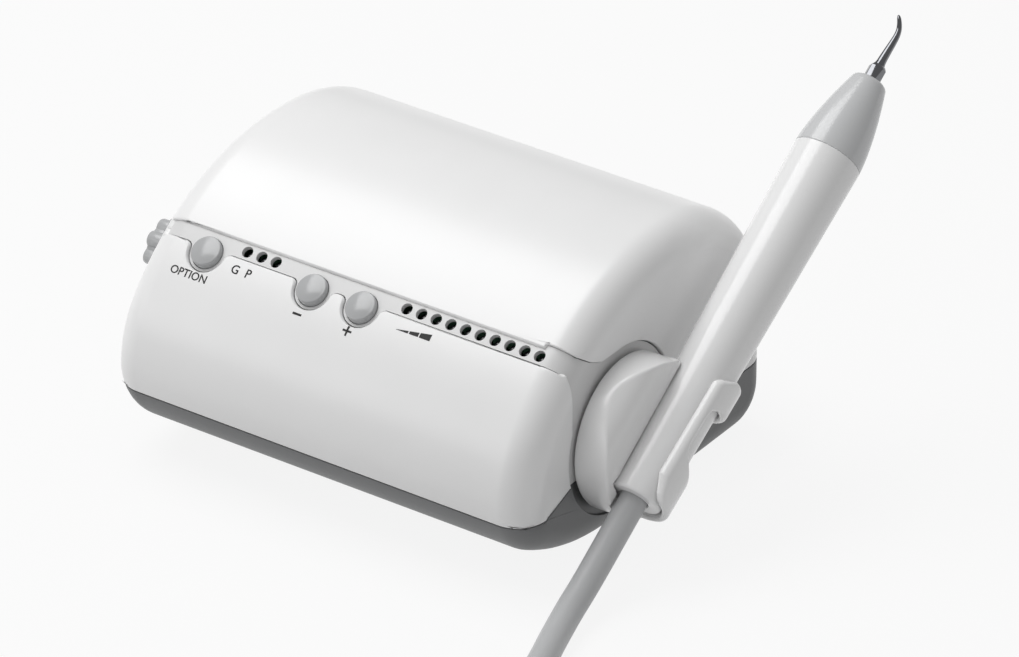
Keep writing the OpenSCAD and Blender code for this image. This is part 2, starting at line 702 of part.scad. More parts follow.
module horn() color("#b4b7bb") {
    on_handpiece(joint) rotate_extrude($fn = 64)
        polygon([[0, -34], [horn_diameter / 2 - 0.1, -34], [horn_diameter / 2 - 0.1, -30], [horn_diameter / 2 - 1, -30],
            [horn_diameter / 2 - 1, -28.2], [horn_diameter / 2 - 0.1, -28.2], [horn_diameter / 2 - 0.1, 0],
            [3.2, nose_length - 9], [2.2, nose_length - 7], [2.2, nose_length], [0, nose_length]]);
}
stack_top = joint - 34;
ring_height = 2.4;
rings = 4;
module piezo_rings() color("#5c5148") {
    for (i = [0:rings - 1]) on_handpiece(stack_top - (i + 1) * (ring_height + 0.2) + 0.1) difference() {
        cylinder(d = horn_diameter - 0.6, h = ring_height);
        translate([0, 0, -1]) cylinder(d = 4.2, h = 6);
    }
}
module back_mass() color("#8f9296") {
    on_handpiece(stack_top - rings * (ring_height + 0.2) - 16) difference() {
        cylinder(d = horn_diameter, h = 16 - 0.1);
        translate([0, 0, -1]) cylinder(d = 4.2, h = 30);
    }
}
module preload_bolt() color("#9a9da1") {
    on_handpiece(stack_top - rings * (ring_height + 0.2) - 20.5) {
        cylinder(d = 4, h = 20.5 + rings * (ring_height + 0.2) - 0.1);
        cylinder(d = 8, h = 4.4, $fn = 6);
    }
}
module horn_seals() color("#2a2a2c") {
    on_handpiece(joint - 29.1) rotate_extrude($fn = 64) translate([horn_diameter / 2 - 0.1, 0]) circle(r = 0.85, $fn = 24);
}
tip_bend = [[0, 0, 8], [0, 0, 12], [0, 0, 15], [-0.4, -0.5, 17.6], [-0.2, -1.1, 18.9], [0.3, -1.6, 19.8], [0.9, -2.2, 20.6], [1.5, -3, 21]];
module scaler_tip() color("#d9dcdf") {
    on_handpiece(nose_end + 0.1) {
        cylinder(d = 4.4, h = 4.6, $fn = 6);
        translate([0, 0, 4.59]) cylinder(d1 = 3.4, d2 = 2.2, h = 2.6);
        translate([0, 0, 7.18]) cylinder(d1 = 2.2, d2 = 1.9, h = 1);
        scale([1, 1, tip_reach / 21]) tube(between(tip_bend, 0, 7, 2), 0.9, 8, [1, 0, 0], 0.35);
    }
}
module tail_connector() color("#6d7075") {
    on_handpiece(tail + 6.6) difference() {
        cylinder(d = tail_diameter - 2 * body_wall - 0.6, h = 12);
        translate([0, 0, 6]) cylinder(d = 5, h = 8);
    }
}

// ---- cable ----
module cable_tail() color("#9b9c9e") tube(between(route, 0, tail_points, 2), cable_radius);
cable_run = between(route, tail_points, len(route) - 1, 2);
// it starts a little past the tail's end, so that their sloping end faces stay apart
module handpiece_cable() color("#9b9c9e")
    tube(concat([spline(route, tail_points, 0.05)], tail_of(cable_run)), cable_radius);
coil_out = coil_radius + 1.5 * cable_diameter;
coil_in = coil_radius - 1.5 * cable_diameter;
module cable_coil() color("#9b9c9e") {
    translate([coil_centre[0], coil_centre[1], coil_lift]) rotate_extrude($fn = 96)
        translate([coil_in, 0]) square([coil_out - coil_in, 2 * cable_diameter]);
}
module coil_tie() color("#3c3d40") {
    translate([coil_centre[0], coil_centre[1], 0]) rotate(tie_angle) translate([coil_in - 1.4, -4, 0.1]) difference() {
        cube([coil_out - coil_in + 2.8, 8, 2 * cable_diameter + 2.2]);
        translate([1.1, -1, 0.9]) cube([coil_out - coil_in + 0.6, 10, 2 * cable_diameter + 0.4]);
    }
}
module plug_lead() color("#9b9c9e") tube(between(lead, 0, 4, 2), cable_radius);
module cable_plug() color("#5a5c5f") {
    a = unit([plug_axis[0], plug_axis[1], 0]);
    translate(lead[4] + 0.2 * a) rotate([-90, 0, atan2(a[1], a[0]) - 90]) {
        cylinder(d1 = cable_diameter + 3, d2 = 2 * plug_radius, h = 12);
        translate([0, 0, 11.99]) cylinder(r = plug_radius, h = 18);
        translate([0, 0, 29.98]) difference() {
            cylinder(d = socket_diameter - 0.3, h = 9);
            translate([0, 0, 1]) cylinder(d = socket_diameter - 2.7, h = 12);
        }
        translate([0, 0, 30.9]) for (k = [0:90:270]) rotate(k) translate([3, 0, 0]) cylinder(d = 1.8, h = 6);
    }
}

base_tray();
front_cover();
control_strip();
top_cover();
rear_panel();
rubber_feet();
case_screws();
lamp_board();
mode_lamps();
level_lamps();
key_switches();
option_button();
minus_button();
plus_button();
main_board();
board_standoffs();
output_transformer();
heat_sink();
capacitors();
power_jack();
footswitch_jack();
handpiece_socket();
water_inlet();
solenoid_valve();
flow_valve();
valve_stem();
water_knob();
water_tubes();
pivot_bush();
pivot_pin();
pivot_washer();
pivot_nut();
holder_clip();
handpiece_body();
nose_cone();
nose_light();
horn();
piezo_rings();
back_mass();
preload_bolt();
horn_seals();
scaler_tip();
tail_connector();
cable_tail();
handpiece_cable();
cable_coil();
coil_tie();
plug_lead();
cable_plug();
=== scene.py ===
"""Desktop ultrasonic scaler with a swivelling handpiece holder, dressed on its CAD frame.

Lengths in the code are millimetres in the CAD frame and become metres when a mesh is made.
"""

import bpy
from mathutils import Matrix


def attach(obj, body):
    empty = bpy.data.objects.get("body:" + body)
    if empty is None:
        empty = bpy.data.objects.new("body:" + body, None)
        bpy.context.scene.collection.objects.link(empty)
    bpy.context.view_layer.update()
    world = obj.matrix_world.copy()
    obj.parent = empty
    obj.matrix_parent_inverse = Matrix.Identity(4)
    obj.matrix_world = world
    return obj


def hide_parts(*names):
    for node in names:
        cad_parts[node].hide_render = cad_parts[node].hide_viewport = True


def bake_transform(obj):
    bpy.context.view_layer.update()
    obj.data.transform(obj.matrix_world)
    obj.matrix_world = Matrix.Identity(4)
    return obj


bl_info = {
    "name": "Ultrasonic scaler",
    "version": (1, 0, 0),
    "blender": (4, 5, 0),
    "location": "View3D > Sidebar > Scaler",
    "description": "Covers, keys, holder, handpiece and cable of a desktop ultrasonic scaler",
    "category": "Object",
}

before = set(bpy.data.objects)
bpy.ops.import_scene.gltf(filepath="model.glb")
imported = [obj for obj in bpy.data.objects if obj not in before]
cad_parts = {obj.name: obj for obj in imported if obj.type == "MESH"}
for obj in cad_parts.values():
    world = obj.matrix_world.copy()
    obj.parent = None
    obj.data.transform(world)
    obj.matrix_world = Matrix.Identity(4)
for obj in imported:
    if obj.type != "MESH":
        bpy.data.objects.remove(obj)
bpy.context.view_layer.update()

import math

import bmesh
import bpy
import numpy as np
from bpy.props import FloatProperty, FloatVectorProperty, PointerProperty
from mathutils import Matrix, Vector
from mathutils.bvhtree import BVHTree

MM = 0.001
IMAGE_W, IMAGE_H = 1019, 657

# ---------------------------------------------------------------- camera
CAMERA_LENS = 270.0
CAMERA_SENSOR = 36.0
CAMERA_AZIMUTH = 35.90
CAMERA_ELEVATION = 29.37
CAMERA_DISTANCE = 2205.5
CAMERA_AIM = (19.05, 32.67)  # mm right of and above the origin, in the picture's plane
FLOOR_WHITE = 0.88  # share of plain white in the floor as the camera sees it
WORLD_LIGHT = 0.39  # strength of the white surroundings as a light

# ---------------------------------------------------------------- image points, pixels of the photograph
# x or y of the edges of the whole object, without cords
EDGES = {"left": 121.0, "right": 901.6, "top": 17.0, "bottom": 548.6}
POINTS = {
    "housing_top": (340.0, 87.0),
    "nose_joint": (795.0, 140.0),
    "option_key": (206.8, 248.2),
    "minus_key": (313.3, 286.9),
    "plus_key": (361.8, 303.7),
    "first_lamp": (248.5, 252.0),
    "last_lamp": (540.0, 356.5),
    "disc_left": (572.8, 463.0),
    "clip_right": (742.0, 392.0),
    "clip_bottom": (655.0, 524.0),
    "knob_left": (144.0, 258.0),
    "minus_mark": (297.0, 314.0),
    "plus_mark": (347.0, 331.0),
    "level_mark": (414.5, 332.5),
    "option_word": (188.5, 274.5),
    "mode_letters": (241.0, 272.0),
}

# ---------------------------------------------------------------- cable, the CAD model's own route
ROUTE = [
    (87.38, -24.06, 28.76), (87.38, -31.39, 23.54), (87.38, -38.72, 18.32), (87.4, -46, 13.15),
    (87.75, -53.6, 8.65), (88.9, -61.6, 5.9), (91.1, -69.8, 4.65), (93.9, -78, 4.4), (97, -86.4, 4.4),
    (100.6, -98.2, 4.4), (102, -112, 4.4), (102.3, -130, 4.5), (102.2, -150, 4.6), (101.9, -172, 4.8),
    (101.5, -194, 5.1), (101.2, -208, 5.2)]
TAIL_POINTS = 6
COIL_CENTRE = (51, -228.4)
COIL_RADIUS = 41.5
COIL_LIFT = 1.2
# each turn's ring, in cable widths, and its layer
COIL_RINGS = [(1, 0), (0, 0), (-1, 0), (-1, 1), (0, 1), (1, 1)]
COIL_CHANGE = 80 / 360  # share of a turn in which the cable moves over to the next ring
LEAD = [(50, -278.2, 13.6), (38, -278, 13.4), (26, -276.8, 12.3), (14, -274.8, 10.2), (3.5, -272.6, 9.2)]
PLUG_AXIS = (-0.98, 0.2)
TIE_ANGLE = 200.0
WEDGE = (-52, -38, -20)  # y where the base's wedge on each end starts, is up and ends
WEDGE_TOP = 28.4
NOSE_CURVE, NOSE_SHARE = 1.55, 0.955  # how late the nose narrows, and where its end's rounding starts
FOOT_TAPER = 0.8  # how much narrower a foot is at the table
END_TAPER = 0.029  # how much each end face draws in per mm towards the back
HANDPIECE_END = 18.4  # from the disc's centre down to the end of the handpiece


def linear(code):
    """An sRGB hex colour as linear RGBA."""
    parts = [int(code[i:i + 2], 16) / 255 for i in (1, 3, 5)]
    return tuple(c / 12.92 if c <= 0.04045 else ((c + 0.055) / 1.055) ** 2.4 for c in parts) + (1.0,)


def size(name, mm, text):
    return FloatProperty(name=name, description=text, default=mm * MM, unit="LENGTH", precision=5)


def colour(name, code, text):
    return FloatVectorProperty(name=name, description=text, subtype="COLOR", size=4, min=0, max=1,
                               default=linear(code))


class ScalerHousingSizes(bpy.types.PropertyGroup):
    width: size("Width", 143.6, "Width across the two end faces at mid depth")
    end_round: size("End rounding", 9.8, "Rounding of the long outline into each end face")
    wall: size("Wall", 2.4, "Wall thickness of the mouldings")
    seam: size("Seam", 0.15, "Gap at every parting line")
    edge: size("Edge rounding", 0.55, "Rounding of the edges along the parting lines")
    lip: size("Lip rounding", 1.1, "Rounding of the cover edges that stand over the strip")
    parting: size("Parting height", 23.45, "Height of the parting line over the base")
    foot: size("Foot height", 2.5, "Height of the rubber feet")
    foot_diameter: size("Foot diameter", 12.0, "Diameter of a rubber foot")
    lamp: size("Lamp", 3.0, "Diameter of a lamp")
    recess: size("Strip recess", 1.0, "Depth of the control strip below the skin")
    strip_thickness: size("Strip thickness", 1.6, "Thickness of the control strip")
    strip_width: size("Strip width", 5.5, "Width of the straight part of the strip")
    key_diameter: size("Key diameter", 9.4, "Diameter of a key cap")
    key_height: size("Key height", 2.5, "Height of a key cap above the strip")
    lamp_pitch: size("Lamp pitch", 5.08, "Pitch of the lamp holes")
    lamp_hole: size("Lamp hole", 3.5, "Diameter of a lamp hole")
    knob_diameter: size("Knob diameter", 18.0, "Diameter of the water knob")
    knob_thickness: size("Knob thickness", 5.2, "Thickness of the water knob")


class ScalerHandpieceSizes(bpy.types.PropertyGroup):
    disc_diameter: size("Disc diameter", 46.5, "Diameter of the swivelling disc")
    disc_thickness: size("Disc thickness", 11.5, "Thickness of the swivelling disc")
    clip_wall: size("Clip wall", 2.4, "Wall of the handpiece clip")
    clip_gap: size("Clip gap", 0.3, "Gap between the clip and the handpiece")
    tail_diameter: size("Tail diameter", 16.3, "Diameter of the handpiece at the cable end")
    joint_diameter: size("Joint diameter", 20.6, "Diameter of the handpiece at the nose joint")
    body_length: size("Body length", 115.7, "Length of the white body")
    nose_length: size("Nose length", 26.5, "Length of the grey nose")
    nose_diameter: size("Nose diameter", 10.0, "Diameter of the end of the nose")
    cable_diameter: size("Cable diameter", 8.3, "Diameter of the handpiece cable")


class ScalerColours(bpy.types.PropertyGroup):
    cover: colour("Cover", "#f2f2f2", "White of the covers and the handpiece")
    strip: colour("Strip", "#dcdcdc", "Light grey of the control strip")
    base: colour("Base", "#6c6d6e", "Dark grey of the base moulding")
    key: colour("Key", "#b1b2b3", "Grey of the key caps")
    nose: colour("Nose", "#cccdce", "Grey of the nose")
    cable: colour("Cable", "#c0c1c2", "Grey of the cable")
    print_ink: colour("Print", "#0c0c0d", "Ink of the marks by the keys")


# ---------------------------------------------------------------- shape of the housing
DISC_Y, DISC_Z = -14.285, 35.723
LEAN = math.radians(35.45)
KNOB_Y, KNOB_Z = -30.0, 52.5
KEYS = {"option": -52.3, "minus": -14.7, "plus": 2.5}
KEY_ROW, LAMP_ROW = 6.7, 2.4
FOOT_X, FOOT_Y = (-42.0, 42.0), (-8.0, 42.0)
SLEEVE_END, PLUNGER_ROOM = -4.4, -2.6  # a key's sleeve reaches down to there round its switch's plunger
BOARD_DEPTH, LAMP_GAP = 9.0, 0.3  # the lamp board lies below the strip, and each lamp ends short of it
LIP_BACK = 0.5  # the foot of a rounded lip stands this far inside the strip's edge
KEY_FILLET = 1.7  # rounding where the strip's straight edge swings out round a key
MODE_LAMP, LEVEL_LAMP = -40.48, 15.75  # first lamp of each group
CREASE = 36.3
CONTROL_SLOPE = math.radians(35)


def out(heading):
    h = np.radians(heading)
    return np.array([-np.sin(h), np.cos(h)])


class Housing:
    """The skin of the housing: tangent arcs in the YZ plane, rounded into the two end faces."""

    def __init__(self, s):
        self.half = s.width / MM / 2
        self.round = s.end_round / MM
        self.wall = s.wall / MM
        self.seam = s.seam / MM
        self.recess = s.recess / MM
        self.headings = [180, 152, 84, 52.7, -6, -40, -90, -180]
        self.radii = [75, 21, 39, 85.4, 50, 40, 14]
        joints = [np.array([-15.8, s.foot / MM])]
        for r, h0, h1 in zip(self.radii, self.headings, self.headings[1:]):
            a, b = math.radians(h0), math.radians(h1)
            joints.append(joints[-1] + r * np.array([math.sin(a) - math.sin(b), math.cos(b) - math.cos(a)]))
        self.joints = joints
        self.centres = [j - r * out(h) for j, r, h in zip(joints, self.radii, self.headings)]
        self.back, self.back_top = joints[6]
        self.floor = s.foot / MM
        # the heel lies below the upright back face
        self.centres[6] = np.array([self.back - self.radii[6], self.floor + self.radii[6]])
        self.taper = END_TAPER

    def end_x(self, y):
        return self.half - self.taper * y

    def arc_point(self, i, heading, inset):
        return self.centres[i] + (self.radii[i] - inset) * out(heading)

    def outline(self, inset, step):
        rows = []
        for i, (h0, h1) in enumerate(zip(self.headings, self.headings[1:])):
            n = max(4, math.ceil(abs(h1 - h0) / step))
            for k in range(n + (i >= 5)):
                rows.append(self.arc_point(i, h0 + (h1 - h0) * k / n, inset))
        return np.array(rows)

    def strip_point(self, s, inset):
        """A point s mm below the crease along the skin, with the slope of the skin there in degrees."""
        reach = math.radians(self.headings[3] - CREASE) * self.radii[3]
        if s <= reach:
            heading, arc = CREASE + math.degrees(s / self.radii[3]), 3
        else:
            heading, arc = self.headings[3] + math.degrees((s - reach) / self.radii[2]), 2
        return self.arc_point(arc, heading, inset), heading

    def measure(self, points):
        """Inset of points in mm from the outline, its way out in YZ, and x past the rounding's start."""
        yz = points[:, 1:]
        inset = np.where(yz[:, 1] < 40, yz[:, 1] - self.floor, 1e9)
        middle = (yz[:, 0] > self.joints[0][0]) & (yz[:, 0] < self.back - self.radii[6])
        inset = np.where(middle, inset, 1e9)
        way = np.tile([0.0, -1.0], (len(points), 1))
        level = (yz[:, 1] > self.floor + self.radii[6]) & (yz[:, 1] < self.back_top)
        upright = (yz[:, 0] > self.back - 20) & level
        better = upright & (np.abs(self.back - yz[:, 0]) < np.abs(inset))
        inset = np.where(better, self.back - yz[:, 0], inset)
        way = np.where(better[:, None], [1.0, 0.0], way)
        for i, (c, r) in enumerate(zip(self.centres, self.radii)):
            d = yz - c
            distance = np.linalg.norm(d, axis=1)
            heading = np.degrees(np.arctan2(-d[:, 0], d[:, 1]))
            heading = np.where(heading > self.headings[0] + 1e-3, heading - 360, heading)
            if i == 0:
                heading = np.where(heading < -90, heading + 360, heading)
            inside = (heading <= self.headings[i] + 1e-3) & (heading >= self.headings[i + 1] - 1e-3)
            value = r - distance
            better = inside & (np.abs(value) < np.abs(inset))
            inset = np.where(better, value, inset)
            way = np.where(better[:, None], d / np.maximum(distance, 1e-9)[:, None], way)
        beyond = np.abs(points[:, 0]) - (self.half - self.round - self.taper * points[:, 1])
        return inset, way, beyond

    def distance(self, points, t):
        """Signed distance to the skin at inset t, and the skin's outward normal."""
        inset, way, beyond = self.measure(points)
        g = self.round - t
        a = self.round - inset
        side = np.sign(points[:, 0])
        hyp = np.hypot(a, beyond)
        corner = (beyond > 0) & (a > 0)
        face = (beyond > 0) & (a <= 0)
        value = np.where(corner, hyp - g, np.where(face, beyond - g, a - g))
        normal = np.zeros((len(points), 3))
        flat = ~(corner | face)
        normal[flat, 1:] = way[flat]
        normal[face, 0] = side[face]
        normal[face, 1] = self.taper
        safe = np.maximum(hyp, 1e-9)
        normal[corner, 0] = side[corner] * beyond[corner] / safe[corner]
        normal[corner, 1:] = way[corner] * (a[corner] / safe[corner])[:, None]
        return value, normal / np.linalg.norm(normal, axis=1)[:, None]

    def skin(self, t, step=3.0):
        """Vertices and faces of the closed solid inside the skin at inset t."""
        g = self.round - t
        turns = [(-1, a) for a in range(90, -1, -9)] + [(1, a) for a in range(0, 91, 9)]
        rings = []
        for side, angle in turns:
            a = math.radians(angle)
            ring = self.outline(t + g * (1 - math.cos(a)), step)
            x = side * (self.half - self.round + g * math.sin(a) - self.taper * ring[:, 0])
            rings.append(np.column_stack([x, ring]))
        n, m = len(rings[0]), len(rings)
        faces = [list(range(n)), [(m - 1) * n + i for i in reversed(range(n))]]
        for j in range(m - 1):
            for i in range(n):
                k = (i + 1) % n
                faces.append([j * n + i, (j + 1) * n + i, (j + 1) * n + k, j * n + k])
        return np.concatenate(rings), faces


# ---------------------------------------------------------------- mesh helpers
def linked(name, data):
    """A new object in the scene."""
    obj = bpy.data.objects.new(name, data)
    bpy.context.scene.collection.objects.link(obj)
    return obj


def make(name, points, faces):
    """A mesh object at the origin from points in mm."""
    mesh = bpy.data.meshes.new(name)
    mesh.from_pydata([tuple(float(c) * MM for c in p) for p in points], [], faces)
    mesh.validate()
    mesh.shade_smooth()
    obj = linked(name, mesh)
    return obj


def outward(obj):
    """Merges doubles and points the faces outwards."""
    bm = bmesh.new()
    bm.from_mesh(obj.data)
    bmesh.ops.remove_doubles(bm, verts=bm.verts, dist=1e-7)
    bmesh.ops.recalc_face_normals(bm, faces=bm.faces)
    bm.to_mesh(obj.data)
    bm.free()
    return obj


def settle(obj):
    """Applies the modifiers, so the object holds a plain mesh."""
    bpy.context.view_layer.update()
    mesh = bpy.data.meshes.new_from_object(obj.evaluated_get(bpy.context.evaluated_depsgraph_get()))
    mesh.name = obj.name
    old = obj.data
    obj.modifiers.clear()
    obj.data = mesh
    if old.users == 0:
        bpy.data.meshes.remove(old)
    return obj


def drop(*objs):
    """Removes objects with their meshes."""
    for o in objs:
        data = o.data
        bpy.data.objects.remove(o)
        if data.users == 0:
            bpy.data.meshes.remove(data)


def cut(obj, cutters, operation="DIFFERENCE"):
    """Cuts obj by each cutter with exact booleans."""
    for c in cutters:
        m = obj.modifiers.new("cut", "BOOLEAN")
        m.operation, m.solver, m.object = operation, "EXACT", c
    settle(obj)
    drop(*cutters)
    return obj


def copy_of(obj, name):
    """A second object with its own copy of the mesh."""
    twin = obj.copy()
    twin.data = obj.data.copy()
    twin.name = twin.data.name = name
    bpy.context.scene.collection.objects.link(twin)
    return twin


def prism(name, corners, x0, x1):
    """A prism on a YZ polygon, from x0 to x1."""
    n = len(corners)
    points = [(x0, y, z) for y, z in corners] + [(x1, y, z) for y, z in corners]
    faces = [list(range(n)), list(reversed(range(n, 2 * n)))]
    faces += [[i, n + i, n + (i + 1) % n, (i + 1) % n] for i in range(n)]
    return outward(make(name, points, faces))


def block(name, lo, hi):
    """A box between two corners, in mm."""
    return prism(name, [(lo[1], lo[2]), (hi[1], lo[2]), (hi[1], hi[2]), (lo[1], hi[2])], lo[0], hi[0])


def placed(rotation, origin):
    """Matrix that takes local mm to frame mm."""
    return Matrix.Translation(Vector(origin)) @ rotation.to_4x4()


def moved(obj, matrix):
    """Moves the mesh itself by a matrix in mm."""
    m = matrix.copy()
    m.translation = m.translation * MM
    obj.data.transform(m)
    obj.data.update()
    return obj


def sharpen(obj, degrees=40):
    """Keeps the edges over an angle sharp."""
    obj.data.set_sharp_from_angle(angle=math.radians(degrees))
    return obj


def turned(name, profile, matrix, sides=96, lobes=None):
    """A solid of revolution about local Z from (radius, z) pairs; the ends on the axis close with a fan."""
    points, rings = [], []
    for r, z in profile:
        if r < 1e-6:
            rings.append([len(points)])
            points.append((0, 0, z))
        else:
            rings.append(list(range(len(points), len(points) + sides)))
            for k in range(sides):
                a = 2 * math.pi * k / sides
                q = r if lobes is None else r * lobes(a)
                points.append((q * math.cos(a), q * math.sin(a), z))
    faces = []
    pairs = list(zip(rings, rings[1:])) + ([(rings[-1], rings[0])] if len(rings[0]) > 1 else [])
    for low, high in pairs:
        for k in range(sides):
            n = (k + 1) % sides
            quad = [low[k % len(low)], low[n % len(low)], high[n % len(high)], high[k % len(high)]]
            face = list(dict.fromkeys(quad))
            if len(face) > 2:
                faces.append(face)
    return outward(moved(make(name, points, faces), matrix))


def arc_profile(centre, radius, a0, a1, n):
    """(radius, z) pairs along an arc; angles in degrees."""
    return [(centre[0] + radius * math.cos(math.radians(a0 + (a1 - a0) * k / n)),
             centre[1] + radius * math.sin(math.radians(a0 + (a1 - a0) * k / n))) for k in range(n + 1)]


def tube(name, path, radii, sides=24, up=(0, 0, 1), flatten=None):
    """A closed round tube whose rings are centred on the path."""
    path = np.array(path, float)
    m = len(path)
    radii = np.broadcast_to(np.array(radii, float), (m,))
    tangent = np.gradient(path, axis=0)
    tangent /= np.linalg.norm(tangent, axis=1)[:, None]
    u = np.cross(tangent, np.array(up, float))
    u /= np.linalg.norm(u, axis=1)[:, None]
    v = np.cross(u, tangent)
    points = []
    for j in range(m):
        for k in range(sides):
            a = 2 * math.pi * k / sides
            thin = 1.0 if flatten is None else flatten[j]
            points.append(path[j] + radii[j] * (math.cos(a) * u[j] + thin * math.sin(a) * v[j]))
    faces = [list(reversed(range(sides))), [(m - 1) * sides + k for k in range(sides)]]
    for j in range(m - 1):
        for k in range(sides):
            n = (k + 1) % sides
            faces.append([j * sides + k, j * sides + n, (j + 1) * sides + n, (j + 1) * sides + k])
    return sharpen(outward(make(name, points, faces)), 50)


def spline(points, i, u):
    """A point at share u of the stretch after point i, on a Catmull-Rom curve."""
    a, b = np.array(points[max(0, i - 1)]), np.array(points[i])
    c, d = np.array(points[i + 1]), np.array(points[min(len(points) - 1, i + 2)])
    square, cube = 2 * a - 5 * b + 4 * c - d, 3 * b - a - 3 * c + d
    return 0.5 * (2 * b + (c - a) * u + square * u * u + cube * u ** 3)


def between(points, first, last, n):
    """The curve through points first to last, with n steps to each stretch."""
    rows = [spline(points, i, k / n) for i in range(first, last) for k in range(n)]
    return rows + [np.array(points[last], float)]


def numbers(items, name, width=1, kind=np.float32):
    """A property of every item of a mesh's collection."""
    values = np.zeros(len(items) * width, kind)
    items.foreach_get(name, values)
    return values.reshape(-1, width) if width > 1 else values


def normals_on_skin(obj, housing, t):
    """Gives the corners on the skin the skin's own normal, so long flat cuts shade as one curve."""
    mesh = obj.data
    mesh.shade_smooth()
    sharpen(obj, 32)
    normals = numbers(mesh.corner_normals, "vector", 3)
    where = numbers(mesh.loops, "vertex_index", kind=np.int32)
    value, skin = housing.distance(numbers(mesh.vertices, "co", 3).astype(float) / MM, t)
    totals = numbers(mesh.polygons, "loop_total", kind=np.int32)
    of_loop = np.repeat(np.arange(len(totals)), totals)
    agree = np.einsum("ij,ij->i", numbers(mesh.polygons, "normal", 3)[of_loop], skin[where])
    on = (np.abs(value[where]) < 0.03) & (agree > 0.35)
    normals[on] = skin[where][on]
    mesh.normals_split_custom_set([tuple(n) for n in normals])


# ---------------------------------------------------------------- smooth solids from distance fields
def smax(a, b, k):
    """The larger of two distances, blended over k."""
    h = np.maximum(k - np.abs(a - b), 0) / k
    return np.maximum(a, b) + h * h * k / 4


def smin(a, b, k):
    """The smaller of two distances, blended over k."""
    return -smax(-a, -b, k)


def polygon_distance(x, y, corners):
    """Signed distance to a closed polygon, negative inside."""
    best = np.full(x.shape, 1e18)
    inside = np.zeros(x.shape, bool)
    n = len(corners)
    for i in range(n):
        ax, ay = corners[i]
        bx, by = corners[(i + 1) % n]
        ex, ey = bx - ax, by - ay
        t = np.clip(((x - ax) * ex + (y - ay) * ey) / (ex * ex + ey * ey), 0, 1)
        best = np.minimum(best, (x - ax - t * ex) ** 2 + (y - ay - t * ey) ** 2)
        if ey != 0:
            crosses = ((ay > y) != (by > y)) & (x < ex * (y - ay) / ey + ax)
            inside ^= crosses
    return np.where(inside, -1, 1) * np.sqrt(best)


def surface_net(field, lo, hi, h):
    """Vertices, quads and normals of the zero surface of field(points)."""
    axes = [np.arange(a, b + h, h) for a, b in zip(lo, hi)]
    grid = np.stack(np.meshgrid(*axes, indexing="ij"), -1)
    shape = grid.shape[:3]
    values = field(grid.reshape(-1, 3)).reshape(shape)
    low = values < 0

    def ends(axis, across):
        """The two ends of every grid edge along an axis."""
        index = [[across] * 3, [across] * 3]
        index[0][axis], index[1][axis] = slice(0, -1), slice(1, None)
        return tuple(index[0]), tuple(index[1])

    def slope(p, e=0.02):
        return np.stack([(field(p + d) - field(p - d)) / (2 * e) for d in e * np.eye(3)], 1)

    total = np.zeros(tuple(s - 1 for s in shape) + (3,))
    count = np.zeros(total.shape[:3])
    for axis in range(3):
        first, second = ends(axis, slice(None))
        a, b = values[first], values[second]
        change = low[first] != low[second]
        points = grid[first].copy()
        points[..., axis] += np.where(change, a / np.where(change, a - b, 1), 0) * h
        others = [k for k in range(3) if k != axis]
        for shift in ((0, 0), (0, 1), (1, 0), (1, 1)):
            source = [slice(None)] * 3
            for k, d in zip(others, shift):
                source[k] = slice(d, shape[k] - 1 + d)
            mark = change[tuple(source)]
            total += np.where(mark[..., None], points[tuple(source)], 0)
            count += mark
    used = count > 0
    index = np.full(used.shape, -1)
    index[used] = np.arange(used.sum())
    vertices = total[used] / count[used][:, None]
    quads = []
    for axis in range(3):
        first, second = ends(axis, slice(1, -1))
        change = low[first] != low[second]
        where = np.argwhere(change) + 1
        where[:, axis] -= 1
        u, v = [(1, 2), (2, 0), (0, 1)][axis]
        corners = []
        for du, dv in ((-1, -1), (0, -1), (0, 0), (-1, 0)):
            c = where.copy()
            c[:, u] += du
            c[:, v] += dv
            corners.append(index[tuple(c.T)])
        q = np.stack(corners, 1)
        rising = low[first][change]
        q[rising] = q[rising][:, ::-1]
        quads.append(q)
    for _ in range(3):
        g = slope(vertices)
        step = field(vertices)[:, None] * g / np.maximum((g * g).sum(1), 1e-9)[:, None]
        vertices = vertices - np.clip(step, -h / 2, h / 2)
    g = slope(vertices)
    return vertices, np.concatenate(quads), g / np.maximum(np.linalg.norm(g, axis=1), 1e-9)[:, None]


def solid_from(name, field, lo, hi, h, to_frame):
    """A mesh object from a distance field in local mm, placed by the function to_frame(points)."""
    points, quads, normals = surface_net(field, lo, hi, h)
    obj = make(name, to_frame(points), [list(map(int, q)) for q in quads])
    ends = to_frame(points + normals) - to_frame(points)
    obj.data.normals_split_custom_set_from_vertices([tuple(n) for n in ends])
    return obj


# ---------------------------------------------------------------- materials
def bare_tree(owner):
    """The emptied node tree of a material or a world."""
    owner.use_nodes = True
    owner.node_tree.nodes.clear()
    return owner.node_tree


def add(tree, kind, inputs=None, **settings):
    """Adds a node with its settings; an input is a value or the socket that feeds it."""
    n = tree.nodes.new(kind)
    for key, value in settings.items():
        setattr(n, key, value)
    for key, value in (inputs or {}).items():
        if isinstance(value, bpy.types.NodeSocket):
            tree.links.new(value, n.inputs[key])
        else:
            n.inputs[key].default_value = value
    return n


